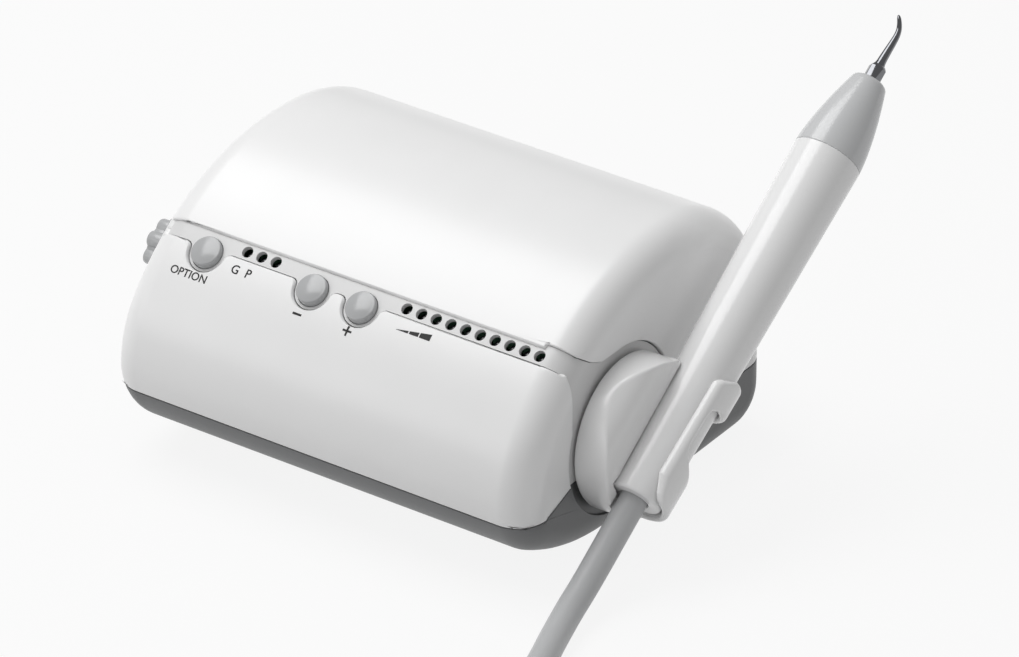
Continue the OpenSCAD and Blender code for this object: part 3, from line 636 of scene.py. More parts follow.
def finish_of(name, base, roughness, grain, depth, ior, metallic=0.0, tint=0.03, coat=0.0, wave=0.0,
              transmission=0.0):
    """A material from a base colour, its roughness, and a grain of a real size and depth in mm."""
    mat = bpy.data.materials.get(name)
    if mat:
        return mat
    mat = bpy.data.materials.new(name)
    tree = bare_tree(mat)
    place = add(tree, "ShaderNodeTexCoord").outputs["Object"]
    fine = add(tree, "ShaderNodeTexNoise", {"Vector": place, "Scale": 1 / (grain * MM), "Detail": 2.0})
    broad = add(tree, "ShaderNodeTexNoise", {"Vector": place, "Scale": 1 / (18 * MM), "Detail": 1.0})
    dark = tuple(c * (1 - tint) for c in base[:3]) + (1.0,)
    mix = add(tree, "ShaderNodeMix", {"Factor": broad.outputs["Fac"]}, data_type="RGBA")
    mix.inputs[6].default_value = dark
    mix.inputs[7].default_value = base
    height = fine.outputs["Fac"]
    rough = add(tree, "ShaderNodeMapRange", {"Value": height, "To Min": max(0.02, roughness - 0.04),
                                             "To Max": roughness + 0.04})
    bump = add(tree, "ShaderNodeBump", {"Height": height, "Strength": 1.0, "Distance": depth * MM})
    if wave:
        soft = add(tree, "ShaderNodeTexNoise", {"Vector": place, "Scale": 1 / (14 * MM), "Detail": 0.0})
        bump = add(tree, "ShaderNodeBump", {"Height": soft.outputs["Fac"], "Strength": 1.0,
                                            "Distance": wave * MM, "Normal": bump.outputs["Normal"]})
    shader = add(tree, "ShaderNodeBsdfPrincipled", {
        "Base Color": mix.outputs[2], "Roughness": rough.outputs["Result"],
        "Normal": bump.outputs["Normal"], "Metallic": metallic, "IOR": ior, "Coat Weight": coat,
        "Transmission Weight": transmission})
    add(tree, "ShaderNodeOutputMaterial", {"Surface": shader.outputs["BSDF"]})
    return mat


# name: colour, roughness, grain and its depth in mm, index of refraction, and what else the finish has
FINISHES = {
    # glossy injection-moulded ABS: a clean white with soft highlights and the slight waviness of a moulding
    "abs_white_glossy": ("cover", 0.3, 0.35, 0.002, 1.54, {"wave": 0.01}),
    # the same ABS on the small mouldings, polished a little more in the tool
    "abs_white_polished": ("cover", 0.2, 0.35, 0.001, 1.54, {}),
    # light grey ABS of the control strip, satin
    "abs_strip_satin": ("strip", 0.36, 0.3, 0.002, 1.54, {}),
    # dark grey ABS with a fine spark-eroded texture, grain drawn at 0.35 mm so that it shows
    "abs_grey_textured": ("base", 0.46, 0.35, 0.006, 1.54, {}),
    # grey ABS key caps, polished
    "abs_key_polished": ("key", 0.2, 0.3, 0.001, 1.54, {}),
    # grey polycarbonate nose, polished
    "nose_polished": ("nose", 0.22, 0.3, 0.001, 1.58, {}),
    # silicone cable sheath: satin with a faint drag texture
    "silicone_cable": ("cable", 0.4, 0.5, 0.004, 1.43, {}),
    # pad-printed ink, flat black
    "pad_print_black": ("print_ink", 0.5, 0.2, 0.001, 1.5, {}),
    # smoked epoxy of an unlit lamp: near black until it lights
    "lamp_epoxy_smoked": ("#101214", 0.12, 0.3, 0.0005, 1.53, {"coat": 0.5}),
    # stainless steel of the tip, mirror polished, its colour painted far darker than steel as painted dark
    # reflection of surroundings that the white studio lacks
    "steel_mirror": ("#77787b", 0.08, 0.4, 0.0004, 1.5, {"metallic": 1.0, "tint": 0.02}),
    # turned or rolled steel of screws and pins
    "steel_turned": ("#b9bcc0", 0.3, 0.25, 0.002, 1.5, {"metallic": 1.0}),
    # brass of bushes and valve
    "brass_turned": ("#c6a558", 0.3, 0.25, 0.002, 1.5, {"metallic": 1.0}),
    # black rubber of the feet and seals
    "rubber_black": ("#2c2c2e", 0.75, 0.5, 0.01, 1.52, {}),
    # dark grey textured ABS of the rear panel and the plug
    "abs_dark_textured": ("#55575a", 0.5, 0.4, 0.006, 1.54, {}),
    # black nylon of sockets, switches and the cable tie
    "nylon_black": ("#242427", 0.42, 0.35, 0.003, 1.53, {}),
    # glass-fibre circuit board under green solder mask
    "board_green": ("#2d6a44", 0.35, 0.8, 0.003, 1.55, {"tint": 0.12}),
    # varnished copper winding, drawn at 0.6 mm wire
    "winding_varnished": ("#b4762f", 0.35, 0.6, 0.05, 1.5, {"tint": 0.2}),
    # cast aluminium of the heat sink and back mass
    "aluminium_cast": ("#a9acb0", 0.42, 0.5, 0.006, 1.5, {"metallic": 1.0}),
    # sleeve of the capacitors
    "sleeve_blue": ("#34466e", 0.35, 0.6, 0.002, 1.5, {}),
    # lead zirconate titanate rings between their electrodes
    "ceramic_dark": ("#5c5148", 0.6, 0.3, 0.004, 1.6, {}),
    # titanium of the horn
    "titanium_turned": ("#b1aca6", 0.32, 0.25, 0.002, 1.5, {"metallic": 1.0}),
    # clear polyurethane tube
    "tube_clear": ("#dfe9ee", 0.15, 0.5, 0.001, 1.5, {"transmission": 0.85}),
    # light guide ring in the nose
    "light_guide": ("#eceadb", 0.2, 0.5, 0.001, 1.49, {"transmission": 0.6}),
}


def finish_named(name):
    """The finish that a piece asks for, made once."""
    colour, roughness, grain, depth, ior, more = FINISHES[name]
    group = bpy.context.scene.scaler_colours
    base = linear(colour) if colour.startswith("#") else tuple(getattr(group, colour))
    return finish_of(name, base, roughness, grain, depth, ior, **more)


CAD_FINISH = {
    "rear_panel": "abs_dark_textured", "case_screws": "steel_turned", "lamp_board": "board_green",
    "key_switches": "nylon_black", "main_board": "board_green", "board_standoffs": "brass_turned",
    "output_transformer": "winding_varnished", "heat_sink": "aluminium_cast", "capacitors": "sleeve_blue",
    "power_jack": "nylon_black", "footswitch_jack": "nylon_black", "handpiece_socket": "aluminium_cast",
    "water_inlet": "steel_turned", "solenoid_valve": "abs_dark_textured", "flow_valve": "brass_turned",
    "water_tubes": "tube_clear", "pivot_bush": "brass_turned", "valve_stem": "steel_turned",
    "pivot_pin": "steel_turned", "pivot_washer": "steel_turned", "pivot_nut": "steel_turned",
    "nose_light": "light_guide", "horn": "titanium_turned", "piezo_rings": "ceramic_dark",
    "back_mass": "aluminium_cast", "preload_bolt": "steel_turned", "horn_seals": "rubber_black",
    "tail_connector": "nylon_black",
}

MADE = {}


def dress(obj, finish, body=None, replaces=()):
    """Gives a finished piece its material and its body."""
    obj.data.materials.clear()
    obj.data.materials.append(finish_named(finish))
    if body:
        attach(obj, body)
    if replaces:
        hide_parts(*replaces)
    MADE[obj.name] = obj
    return obj


def tell(condition, text):
    if not condition:
        raise RuntimeError(text)


# ---------------------------------------------------------------- places
def camera_axes():
    """The camera's right, up and backward directions."""
    a, e = math.radians(CAMERA_AZIMUTH), math.radians(CAMERA_ELEVATION)
    back = Vector((math.sin(a) * math.cos(e), -math.cos(a) * math.cos(e), math.sin(e)))
    right = Vector((math.cos(a), math.sin(a), 0))
    return right, back.cross(right), back


def camera_place():
    """Where the camera stands, in metres."""
    right, up, back = camera_axes()
    return (right * CAMERA_AIM[0] + up * CAMERA_AIM[1] + back * CAMERA_DISTANCE) * MM


def ray_through(point):
    """Origin and direction of the ray through a pixel of the photograph."""
    long_side = max(IMAGE_W, IMAGE_H)
    x = point[0] - IMAGE_W / 2
    y = IMAGE_H / 2 - point[1]
    right, up, back = camera_axes()
    way = right * x + up * y - back * (long_side * CAMERA_LENS / CAMERA_SENSOR)
    return camera_place(), way.normalized()


def place_on(point, carrier):
    """Where the ray through a pixel meets the carrier, with the normal there, in mm."""
    origin, way = ray_through(point)
    points, faces = carrier.data.vertices, carrier.data.polygons
    tree = BVHTree.FromPolygons([v.co[:] for v in points], [f.vertices[:] for f in faces])
    hit, normal, _, _ = tree.ray_cast(origin, way)
    if hit is None:
        along = max(0.0, (points[0].co - origin).dot(way))
        hit, normal, _, _ = tree.find_nearest(origin + way * along)
    return hit / MM, normal


def pixel_of(point):
    """The pixel of a place in metres."""
    right, up, back = camera_axes()
    d = Vector(point) - camera_place()
    focal = max(IMAGE_W, IMAGE_H) * CAMERA_LENS / CAMERA_SENSOR
    depth = -d.dot(back)
    return IMAGE_W / 2 + focal * d.dot(right) / depth, IMAGE_H / 2 - focal * d.dot(up) / depth


def sight_of(pieces):
    """One tree of everything that can stand in front of something."""
    points, faces = [], []
    for o in pieces:
        first = len(points)
        points += [v.co[:] for v in o.data.vertices]
        faces += [[first + i for i in p.vertices] for p in o.data.polygons]
    return BVHTree.FromPolygons(points, faces)


def shows(sight, place):
    """True where nothing lies between the camera and a place in metres."""
    origin = camera_place()
    way = Vector(place) - origin
    hit = sight.ray_cast(origin, way.normalized())
    return hit[0] is None or hit[3] > way.length - 0.3 * MM


def edge_pixel(sight, pieces, side):
    """The outermost pixel on one side among the finished vertices that show."""
    axis = 0 if side in ("left", "right") else 1
    sign = 1 if side in ("left", "top") else -1
    rows = [(pixel_of(v.co), v.co) for o in pieces for v in o.data.vertices]
    rows.sort(key=lambda row: sign * row[0][axis])
    for pixel, place in rows:
        if shows(sight, place):
            return pixel
    return rows[0][0]


def middle_pixel(sight, piece, over=None):
    """The middle of what shows of a piece, or only of what stands over a plane's own z = 0."""
    places = [v.co for v in piece.data.vertices if over is None or (over.inverted() @ (v.co / MM)).z > 0]
    seen = [pixel_of(place) for place in places if shows(sight, place)] or list(map(pixel_of, places))
    xs, ys = zip(*seen)
    return (min(xs) + max(xs)) / 2, (min(ys) + max(ys)) / 2


def write_points(context):
    """Finds where each thing shows, in pixels of the photograph."""
    h = housing_of(context)
    s = context.scene.scaler_housing
    cords = ("cable_from_handpiece", "cable_to_plug", "coil_strap", "plug_body", "plug_shell", "plug_pins")
    solid = [o for name, o in MADE.items() if name not in cords]
    sight = sight_of(list(MADE.values()))
    for side, value in EDGES.items():
        pixel = edge_pixel(sight, solid, side)

    def spot(x, row):
        return pixel_of(at_strip(h, x, row, h.recess).translation * MM)

    p = context.scene.scaler_handpiece
    at = on_handpiece()
    ring = [at @ Vector((p.joint_diameter / MM / 2 * math.cos(a), p.joint_diameter / MM / 2 * math.sin(a),
                         p.body_length / MM - HANDPIECE_END)) for a in np.linspace(0, 2 * math.pi, 180)]
    lamps = lamp_places(s)
    found = {
        "housing_top": edge_pixel(sight, [MADE["upper_shell"]], "top"),
        "nose_joint": min((pixel_of(q * MM) for q in ring), key=lambda pixel: pixel[0]),
        "first_lamp": spot(lamps[0], LAMP_ROW),
        "last_lamp": spot(lamps[-1], LAMP_ROW),
        "disc_left": edge_pixel(sight, [MADE["holder_moulding"]], "left"),
        "clip_right": edge_pixel(sight, [MADE["holder_moulding"]], "right"),
        "clip_bottom": edge_pixel(sight, [MADE["holder_moulding"]], "bottom"),
        "knob_left": edge_pixel(sight, [MADE["water_knob_cap"]], "left"),
    }
    for name, x in KEYS.items():
        cap, plane = MADE[name + "_key_cap"], at_strip(h, x, KEY_ROW, h.recess)
        found[name + "_key"] = middle_pixel(sight, cap, plane)
    for name, piece in (("minus_mark", "mark_minus"), ("plus_mark", "mark_plus"),
                        ("level_mark", "mark_level"), ("option_word", "mark_option"),
                        ("mode_letters", "mark_mode")):
        found[name] = middle_pixel(sight, MADE[piece])


def on_handpiece():
    """Local z runs up the handpiece from the disc's centre, and local -y away from the clip."""
    disc_x = (bpy.context.scene.scaler_housing.width / MM) / 2 - END_TAPER * DISC_Y + 0.4
    x = disc_x + bpy.context.scene.scaler_handpiece.disc_thickness / MM + 3.28
    return placed(Matrix.Rotation(LEAN - math.pi / 2, 3, "X"), (x, DISC_Y, DISC_Z))


def at_strip(housing, x, s, inset):
    """Matrix of a place on the strip, with local z out of it."""
    p, _ = housing.strip_point(s, inset)
    return placed(Matrix.Rotation(CONTROL_SLOPE, 3, "X"), (x, p[0], p[1]))


# ---------------------------------------------------------------- operators
class SCALER_OT_stage(bpy.types.Operator):
    """Camera, floor and soft studio light"""

    bl_idname = "scaler.stage"
    bl_label = "Stage"

    def execute(self, context):
        scene = context.scene
        data = bpy.data.cameras.new("camera")
        data.lens, data.sensor_width, data.sensor_fit = CAMERA_LENS, CAMERA_SENSOR, "AUTO"
        data.clip_start, data.clip_end = 0.1, 20
        cam = linked("camera", data)
        cam.rotation_mode = "QUATERNION"
        right, up, back = camera_axes()
        cam.location = camera_place()
        cam.rotation_quaternion = Matrix((right, up, back)).transposed().to_quaternion()
        scene.camera = cam
        scene.view_settings.view_transform = "Standard"

        span = 6000
        corners = [(-span, -span, 0), (span, -span, 0), (span, span, 0), (-span, span, 0)]
        floor = make("floor", corners, [[0, 1, 2, 3]])
        mat = bpy.data.materials.new("studio_floor")
        tree = bare_tree(mat)
        rays = add(tree, "ShaderNodeLightPath").outputs
        seen = add(tree, "ShaderNodeMath", {0: rays["Is Camera Ray"], 1: rays["Is Glossy Ray"]},
                   operation="ADD", use_clamp=True)
        seen = add(tree, "ShaderNodeMath", {0: seen.outputs[0], 1: rays["Is Transmission Ray"]},
                   operation="ADD", use_clamp=True)
        paper = add(tree, "ShaderNodeBsdfDiffuse", {"Color": linear("#dddddd")})
        white = add(tree, "ShaderNodeEmission", {"Color": (1, 1, 1, 1), "Strength": 1.0})
        share = add(tree, "ShaderNodeMath", {0: seen.outputs[0], 1: FLOOR_WHITE}, operation="MULTIPLY")
        look = add(tree, "ShaderNodeMixShader", {0: share.outputs[0], 1: paper.outputs[0],
                                                 2: white.outputs[0]})
        add(tree, "ShaderNodeOutputMaterial", {"Surface": look.outputs[0]})
        floor.data.materials.append(mat)

        world = bpy.data.worlds.new("studio")
        scene.world = world
        tree = bare_tree(world)
        rays = add(tree, "ShaderNodeLightPath").outputs
        seen = add(tree, "ShaderNodeMath", {0: rays["Is Camera Ray"], 1: rays["Is Transmission Ray"]},
                   operation="ADD", use_clamp=True)
        strength = add(tree, "ShaderNodeMapRange", {"Value": seen.outputs[0], "To Min": WORLD_LIGHT,
                                                    "To Max": 1.0})
        sky = add(tree, "ShaderNodeBackground", {"Color": (1, 1, 1, 1),
                                                 "Strength": strength.outputs["Result"]})
        add(tree, "ShaderNodeOutputWorld", {"Surface": sky.outputs[0]})

        def softbox(name, way, distance, wide, high, watts):
            light = bpy.data.lights.new(name, "AREA")
            light.shape, light.size, light.size_y, light.energy = "RECTANGLE", wide, high, watts
            obj = linked(name, light)
            way = Vector(way).normalized()
            obj.rotation_mode = "QUATERNION"
            obj.location = Vector((0.02, -0.01, 0.04)) + way * distance
            obj.rotation_quaternion = way.to_track_quat("Z", "Y")

        softbox("key_light", (-0.40, -0.08, 0.92), 1.1, 0.9, 0.7, 7.8)
        softbox("front_fill", (-0.55, -0.75, 0.30), 1.4, 0.8, 0.5, 1.7)
        return {"FINISHED"}


def coil_turns(radius):
    """Centre line of the coil: clockwise rings, each held until the last part of its turn."""
    rows = []
    per_turn = 48
    for k in range(1, 5 * per_turn + per_turn // 4):
        turn = k / per_turn
        i = int(turn)
        (ring, layer_now) = COIL_RINGS[i]
        (ring_next, layer_next) = COIL_RINGS[min(i + 1, 5)]
        u = max(0.0, (turn - i - 1 + COIL_CHANGE) / COIL_CHANGE)
        ease = u * u * (3 - 2 * u)
        r = COIL_RADIUS + 2 * radius * (ring + (ring_next - ring) * ease)
        z = COIL_LIFT + radius + 2 * radius * (layer_now + (layer_next - layer_now) * ease)
        if layer_next != layer_now:
            r -= 0.4 * radius * math.sin(math.pi * ease) * (2 * 0.4)
        a = -2 * math.pi * turn
        rows.append(np.array([COIL_CENTRE[0] + r * math.cos(a), COIL_CENTRE[1] + r * math.sin(a), z]))
    return rows


class SCALER_OT_cables(bpy.types.Operator):
    """Cable from the handpiece to its coil, the tie and the plug"""

    bl_idname = "scaler.cables"
    bl_label = "Cables"

    def execute(self, context):
        radius = context.scene.scaler_handpiece.cable_diameter / MM / 2
        tail = between(ROUTE, 0, TAIL_POINTS, 6)
        first = tube("cable_from_handpiece", tail, radius)
        dress(first, "silicone_cable", replaces=["cable_tail"])
        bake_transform(first)

        path = between(ROUTE, TAIL_POINTS, len(ROUTE) - 1, 5)
        path += coil_turns(radius)
        path += between(LEAD, 0, len(LEAD) - 1, 4)
        # even the joins out, so no ring is crowded against its neighbour
        path = np.array(path)
        for _ in range(2):
            path[1:-1] = path[1:-1] * 0.5 + (path[:-2] + path[2:]) * 0.25
        second = tube("cable_to_plug", path, radius)
        dress(second, "silicone_cable",
              replaces=["handpiece_cable", "cable_coil", "plug_lead"])
        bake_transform(second)

        ax = np.array([PLUG_AXIS[0], PLUG_AXIS[1], 0.0])
        ax /= np.linalg.norm(ax)
        turn = Matrix((Vector((ax[1], -ax[0], 0)), Vector((0, 0, 1)), Vector(ax))).transposed()
        at = placed(turn, np.array(LEAD[-1]) + 0.2 * ax)
        sleeve = [(0, 0), (radius + 0.9, 0), (radius + 1.3, 0.4)]
        for k in range(5):  # the flexing ribs of the strain relief
            z = 1.2 + 2.1 * k
            r = radius + 1.5 + 0.45 * k
            sleeve += [(r, z), (r, z + 1.2), (r - 0.7, z + 1.35), (r - 0.7, z + 2.0)]
        sleeve += [(7.3, 11.9), (7.9, 12.5)]
        for k in range(6):  # grip rings
            z = 14 + 2 * k
            sleeve += [(7.9, z), (7.5, z + 0.3), (7.5, z + 0.9), (7.9, z + 1.2)]
        sleeve += [(7.9, 29.3), (7.4, 29.9), (0, 29.9)]
        plug = sharpen(turned("plug_body", sleeve, at, 64))
        dress(plug, "abs_dark_textured", "unit", ["cable_plug"])
        metal = [(5.9, 29.95), (6.05, 30.3), (6.05, 38.4), (5.75, 38.8), (5.0, 38.8), (4.85, 38.5),
                 (4.85, 31), (0, 31), (0, 29.95)]
        shell = sharpen(turned("plug_shell", metal, at, 64))
        dress(shell, "steel_turned", "unit")
        pins = []
        pin = [(0, 30.9), (0.85, 30.9), (0.85, 36.3), (0.55, 36.9), (0, 37)]
        for k in range(4):
            a = math.radians(90 * k)
            spot = Matrix.Translation((3 * math.cos(a), 3 * math.sin(a), 0))
            pins.append(turned("pin", pin, at @ spot, 16))
        contact = join("plug_pins", pins)
        dress(contact, "brass_turned", "unit")

        angle = math.radians(TIE_ANGLE)
        inner, outer = COIL_RADIUS - 3 * radius - 1.3, COIL_RADIUS + 3 * radius + 1.3
        top = COIL_LIFT + 4 * radius + 0.25
        ring = rounded_loop(inner, outer, 0.35, top + 0.6, 3.2)
        hole = rounded_loop(inner + 0.9, outer - 0.9, 1.1, top - 0.15, 2.4)
        ride_at = placed(Matrix.Rotation(angle, 3, "Z"), (COIL_CENTRE[0], COIL_CENTRE[1], 0))
        points, faces = [], []
        n = len(ring)
        rows = [(ring, -3.8), (ring, 3.8), (hole, 3.8), (hole, -3.8)]
        for loop, y in rows:
            points += [(x, y, z) for x, z in loop]
        for j in range(4):
            for i in range(n):
                a, b = j * n, ((j + 1) % 4) * n
                faces.append([a + i, a + (i + 1) % n, b + (i + 1) % n, b + i])
        tie = outward(moved(make("coil_strap", points, faces), ride_at))
        bevel(tie, 0.25, 2, 40)
        dress(tie, "nylon_black", "unit", ["coil_tie"])
        return {"FINISHED"}


def rounded_loop(x0, x1, z0, z1, r, n=6):
    """The corners of a rectangle in XZ, rounded."""
    points = []
    for cx, cz, a0 in ((x1 - r, z0 + r, -90), (x1 - r, z1 - r, 0), (x0 + r, z1 - r, 90),
                       (x0 + r, z0 + r, 180)):
        for k in range(n + 1):
            a = math.radians(a0 + 90 * k / n)
            points.append((cx + r * math.cos(a), cz + r * math.sin(a)))
    return points


def join(name, objs):
    """One object from several, with their faces kept."""
    bm = bmesh.new()
    for o in objs:
        bm.from_mesh(o.data)
    mesh = bpy.data.meshes.new(name)
    bm.to_mesh(mesh)
    bm.free()
    drop(*objs)
    mesh.shade_smooth()
    return sharpen(linked(name, mesh))


def bevel(obj, width, segments, angle, sharp=True):
    m = obj.modifiers.new("round", "BEVEL")
    m.width, m.segments, m.limit_method = width * MM, segments, "ANGLE"
    m.angle_limit = math.radians(angle)
    m.use_clamp_overlap = False
    m.miter_outer = "MITER_ARC"
    settle(obj)
    if sharp:
        obj.data.shade_smooth()
        obj.data.set_sharp_from_angle(angle=math.radians(35))
    return obj


def base_zone(h, g):
    lower = block("zone", (-100, -100, -20), (100, 100, h.parting + g))
    x = h.half - h.round
    wedge = [(WEDGE[0], 20 + g), (WEDGE[0], h.parting + g), (WEDGE[1], WEDGE_TOP + g),
             (WEDGE[2], WEDGE_TOP + g), (WEDGE[2], 20 + g)]
    return [lower, prism("zone", wedge, x, x + 40)]


def side_zone(h, g):
    r = h.disc_recess + g
    x = h.half - h.round
    panel = prism("zone", [(-38 - g, 18.4), (-38 - g, 72 + g), (-33, 66.3 + g), (-28.7, 63.4 + g),
                           (-23.8, 61.2 + g), (DISC_Y, DISC_Z + r), (DISC_Y, 18.4)], x, x + 40)
    turn = placed(Matrix.Rotation(math.pi / 2, 3, "Y"), (0, DISC_Y, DISC_Z))
    ring = turned("zone", [(0, 0), (r, 0), (r, 100), (0, 100)], turn, 128)
    return [panel, ring]


def strip_edge(h, grow):
    """The strip's lower edge as (x, s), left to right: a line that swings round each key in fillets."""
    width, radius, fillet = h.strip_width + grow, h.scallop + grow, KEY_FILLET - grow
    drop_to = KEY_ROW - width - fillet
    reach = math.sqrt((radius + fillet) ** 2 - drop_to ** 2)
    tilt = math.degrees(math.atan2(-drop_to, reach))
    rows = [(-100, width)]
    for x in sorted(KEYS.values()):
        for side, angles in ((-1, np.linspace(-90, tilt, 6)), (0, np.linspace(180 - tilt, tilt, 25)),
                             (1, np.linspace(180 - tilt, 270, 6))):
            for k, angle in enumerate(angles):
                a = math.radians(angle)
                across, along = math.cos(a), math.sin(a)
                if side:
                    rows.append((x + side * reach + fillet * across, width + fillet + fillet * along))
                elif 0 < k < 24:
                    rows.append((x + radius * across, KEY_ROW + radius * along))
    return rows + [(100, width)]


def edge_profile(radius, top=1.3, deep=-3.2):
    """(height, reach) pairs down a rounded edge: it leaves the skin at a shallow slope and ends upright."""
    steep = math.radians(68)
    rows = [(top, radius * (1 - math.cos(steep)) + top / math.tan(math.pi / 2 - steep))]
    for a in np.linspace(steep, 0, 7):
        rows.append((radius * (math.sin(a) - math.sin(steep)), radius * (1 - math.cos(a))))
    return rows + [(deep, 0.0)]


def strip_block(h, low, high, heights):
    """A solid along the skin, from the edge high(i) down to the edge low(i), at each height over it."""
    points = []
    count = len(low(0))
    for i, height in enumerate(heights):
        for x, along in list(low(i)) + [(x, high(i)) for x, _ in low(i)]:
            p, _ = h.strip_point(along, -height)
            points.append((x, p[0], p[1]))
    faces = []
    row = 2 * count
    last = (len(heights) - 1) * row
    for k in range(count - 1):
        for first in (0, last):
            faces.append([first + k, first + k + 1, first + count + k + 1, first + count + k])
        for i in range(len(heights) - 1):
            for start in (0, count):
                a = i * row + start + k
                faces.append([a, a + 1, a + row + 1, a + row])
    for i in range(len(heights) - 1):
        for k in (0, count - 1):
            a = i * row + k
            faces.append([a, a + count, a + row + count, a + row])
    return outward(make("zone", points, faces))


def strip_cutter(h, rounding):
    """Takes the strip's room out of the front cover and rounds the edge that it leaves."""
    profile = edge_profile(rounding)
    return strip_block(h, lambda i: strip_edge(h, h.seam - LIP_BACK + profile[i][1]), lambda i: -1.5,
                       [z for z, _ in profile])


def lip_cutter(h, rounding):
    """Trims the upper cover square to the skin along the crease, with a rounded lip."""
    profile = edge_profile(rounding)
    line = [(x, 9) for x in (-100, -50, 0, 50, 100)]
    return strip_block(h, lambda i: line, lambda i: -profile[i][1], [z for z, _ in profile])


def strip_body(h):
    """The strip's own room, a seam inside the cutter."""
    return strip_block(h, lambda i: strip_edge(h, -h.seam - LIP_BACK), lambda i: 0.05, [1.5, -4.5])


def behind_crease(h, g):
    p, _ = h.strip_point(0, 0)
    return block("zone", (-100, p[0] - g, h.parting - 5), (100, p[0] + 200, 220))


def housing_of(context):
    s = context.scene.scaler_housing
    h = Housing(s)
    h.parting = s.parting / MM
    h.strip_width = s.strip_width / MM
    h.disc_recess = context.scene.scaler_handpiece.disc_diameter / MM / 2 + 2.15
    h.scallop = s.key_diameter / MM / 2 + 1.7
    return h


def layer(h, name, t0, t1):
    shell = make(name, *h.skin(t0))
    return cut(shell, [make("inner", *h.skin(t1))])


def rear_opening(h, g=0.2):
    return block("zone", (-54 - g, h.back - 8, 15 - g), (54 + g, h.back + 12, 41 + g))


class SCALER_OT_covers(bpy.types.Operator):
    """Front cover, upper cover, base moulding and control strip"""

    bl_idname = "scaler.covers"
    bl_label = "Covers"

    def execute(self, context):
        h = housing_of(context)
        s = context.scene.scaler_housing
        edge = s.edge / MM
        shell = layer(h, "shell", 0, h.wall)

        front = copy_of(shell, "front_shell")
        cut(front, base_zone(h, h.seam) + [behind_crease(h, h.seam), strip_cutter(h, s.lip / MM)])
        cut(front, side_zone(h, h.seam))
        bevel(front, edge, 3, 38, sharp=False)
        normals_on_skin(front, h, 0)
        dress(front, "abs_white_glossy", "unit", ["front_cover"])

        upper = copy_of(shell, "upper_shell")
        cut(upper, [behind_crease(h, 0)], "INTERSECT")
        cut(upper, [lip_cutter(h, s.lip / MM)])
        bore = placed(Matrix.Rotation(math.pi / 2, 3, "Y"), (-100, KNOB_Y, KNOB_Z))
        stem = turned("zone", [(0, 0), (2.5, 0), (2.5, 60), (0, 60)], bore, 48)
        cut(upper, base_zone(h, h.seam) + side_zone(h, h.seam) + [rear_opening(h), stem])
        bevel(upper, edge, 3, 38, sharp=False)
        normals_on_skin(upper, h, 0)
        dress(upper, "abs_white_glossy", "unit", ["top_cover"])

        base = copy_of(shell, "base_shell")
        x = h.half - h.round
        above = [(-100, h.parting), (WEDGE[0], h.parting), (WEDGE[1], WEDGE_TOP), (WEDGE[2], WEDGE_TOP),
                 (WEDGE[2], h.parting), (100, h.parting), (100, 110), (-100, 110)]
        cut(base, [block("zone", (-100, -101, h.parting), (x, 101, 112)),
                   prism("zone", above, x - 0.1, x + 40)])
        pocket = placed(Matrix.Rotation(math.pi / 2, 3, "Y"), (h.end_x(DISC_Y) - h.recess, DISC_Y, DISC_Z))
        disc = turned("zone", [(0, 0), (h.disc_recess, 0), (h.disc_recess, 10), (0, 10)], pocket, 128)
        well = [(0, -1), (3.1, -1), (3.1, 30), (0, 30)]
        wells = [turned("zone", well, placed(Matrix.Identity(3), (x, y, 0)), 32)
                 for x in (-54, 54) for y in (2, 42)]
        cut(base, [disc, rear_opening(h)] + wells)
        bevel(base, 0.3, 2, 38, sharp=False)
        normals_on_skin(base, h, 0)
        dress(base, "abs_grey_textured", "unit", ["base_tray"])
        drop(shell)

        strip = layer(h, "strip", h.recess, h.recess + s.strip_thickness / MM)
        zone = cut(strip_body(h), side_zone(h, -h.seam), "UNION")
        cut(strip, [zone], "INTERSECT")
        cut(strip, base_zone(h, h.seam))
        holes = [turned("zone", [(0, -6), (s.lamp_hole / MM / 2, -6), (s.lamp_hole / MM / 2, 6), (0, 6)],
                        at_strip(h, x, LAMP_ROW, h.recess), 40) for x in lamp_places(s)]
        r = s.key_diameter / MM / 2 + 0.2
        holes += [turned("zone", [(0, -6), (r, -6), (r, 6), (0, 6)], at_strip(h, x, KEY_ROW, h.recess), 64)
                  for x in KEYS.values()]
        turn = placed(Matrix.Rotation(math.pi / 2, 3, "Y"), (0, DISC_Y, DISC_Z))
        holes.append(turned("zone", [(0, 0), (6.7, 0), (6.7, 100), (0, 100)], turn, 64))
        cut(strip, holes)
        normals_on_skin(strip, h, h.recess)
        dress(strip, "abs_strip_satin", "unit", ["control_strip"])
        return {"FINISHED"}


def lamp_places(s):
    pitch = s.lamp_pitch / MM
    return [MODE_LAMP + pitch * i for i in range(3)] + [LEVEL_LAMP + pitch * i for i in range(10)]


class SCALER_OT_keys(bpy.types.Operator):
    """The three round keys"""

    bl_idname = "scaler.keys"
    bl_label = "Keys"

    def execute(self, context):
        h = housing_of(context)
        s = context.scene.scaler_housing
        r, top = s.key_diameter / MM / 2, s.key_height / MM
        for name, x in KEYS.items():
            dome = 13.0
            flat = 0.55
            edge_z = top - (dome - math.sqrt(dome * dome - (r - flat) ** 2))
            crown = [(dome * math.sin(a), top - dome + dome * math.cos(a))
                     for a in np.linspace(0, math.asin((r - flat) / dome), 9)]
            crown += arc_profile((r - flat, edge_z - flat), flat, 70, 0, 5)
            low = -2.2
            profile = crown + [(r, low), (r + 0.9, low), (r + 0.9, low - 1.2), (3.2, low - 1.2),
                               (3.2, SLEEVE_END), (1.9, SLEEVE_END), (1.9, PLUNGER_ROOM),
                               (0, PLUNGER_ROOM)]
            key = turned(f"{name}_key_cap", profile, at_strip(h, x, KEY_ROW, h.recess), 72)
            sharpen(key, 35)
            dress(key, "abs_key_polished", f"{name}_key", [f"{name}_button"])
        return {"FINISHED"}


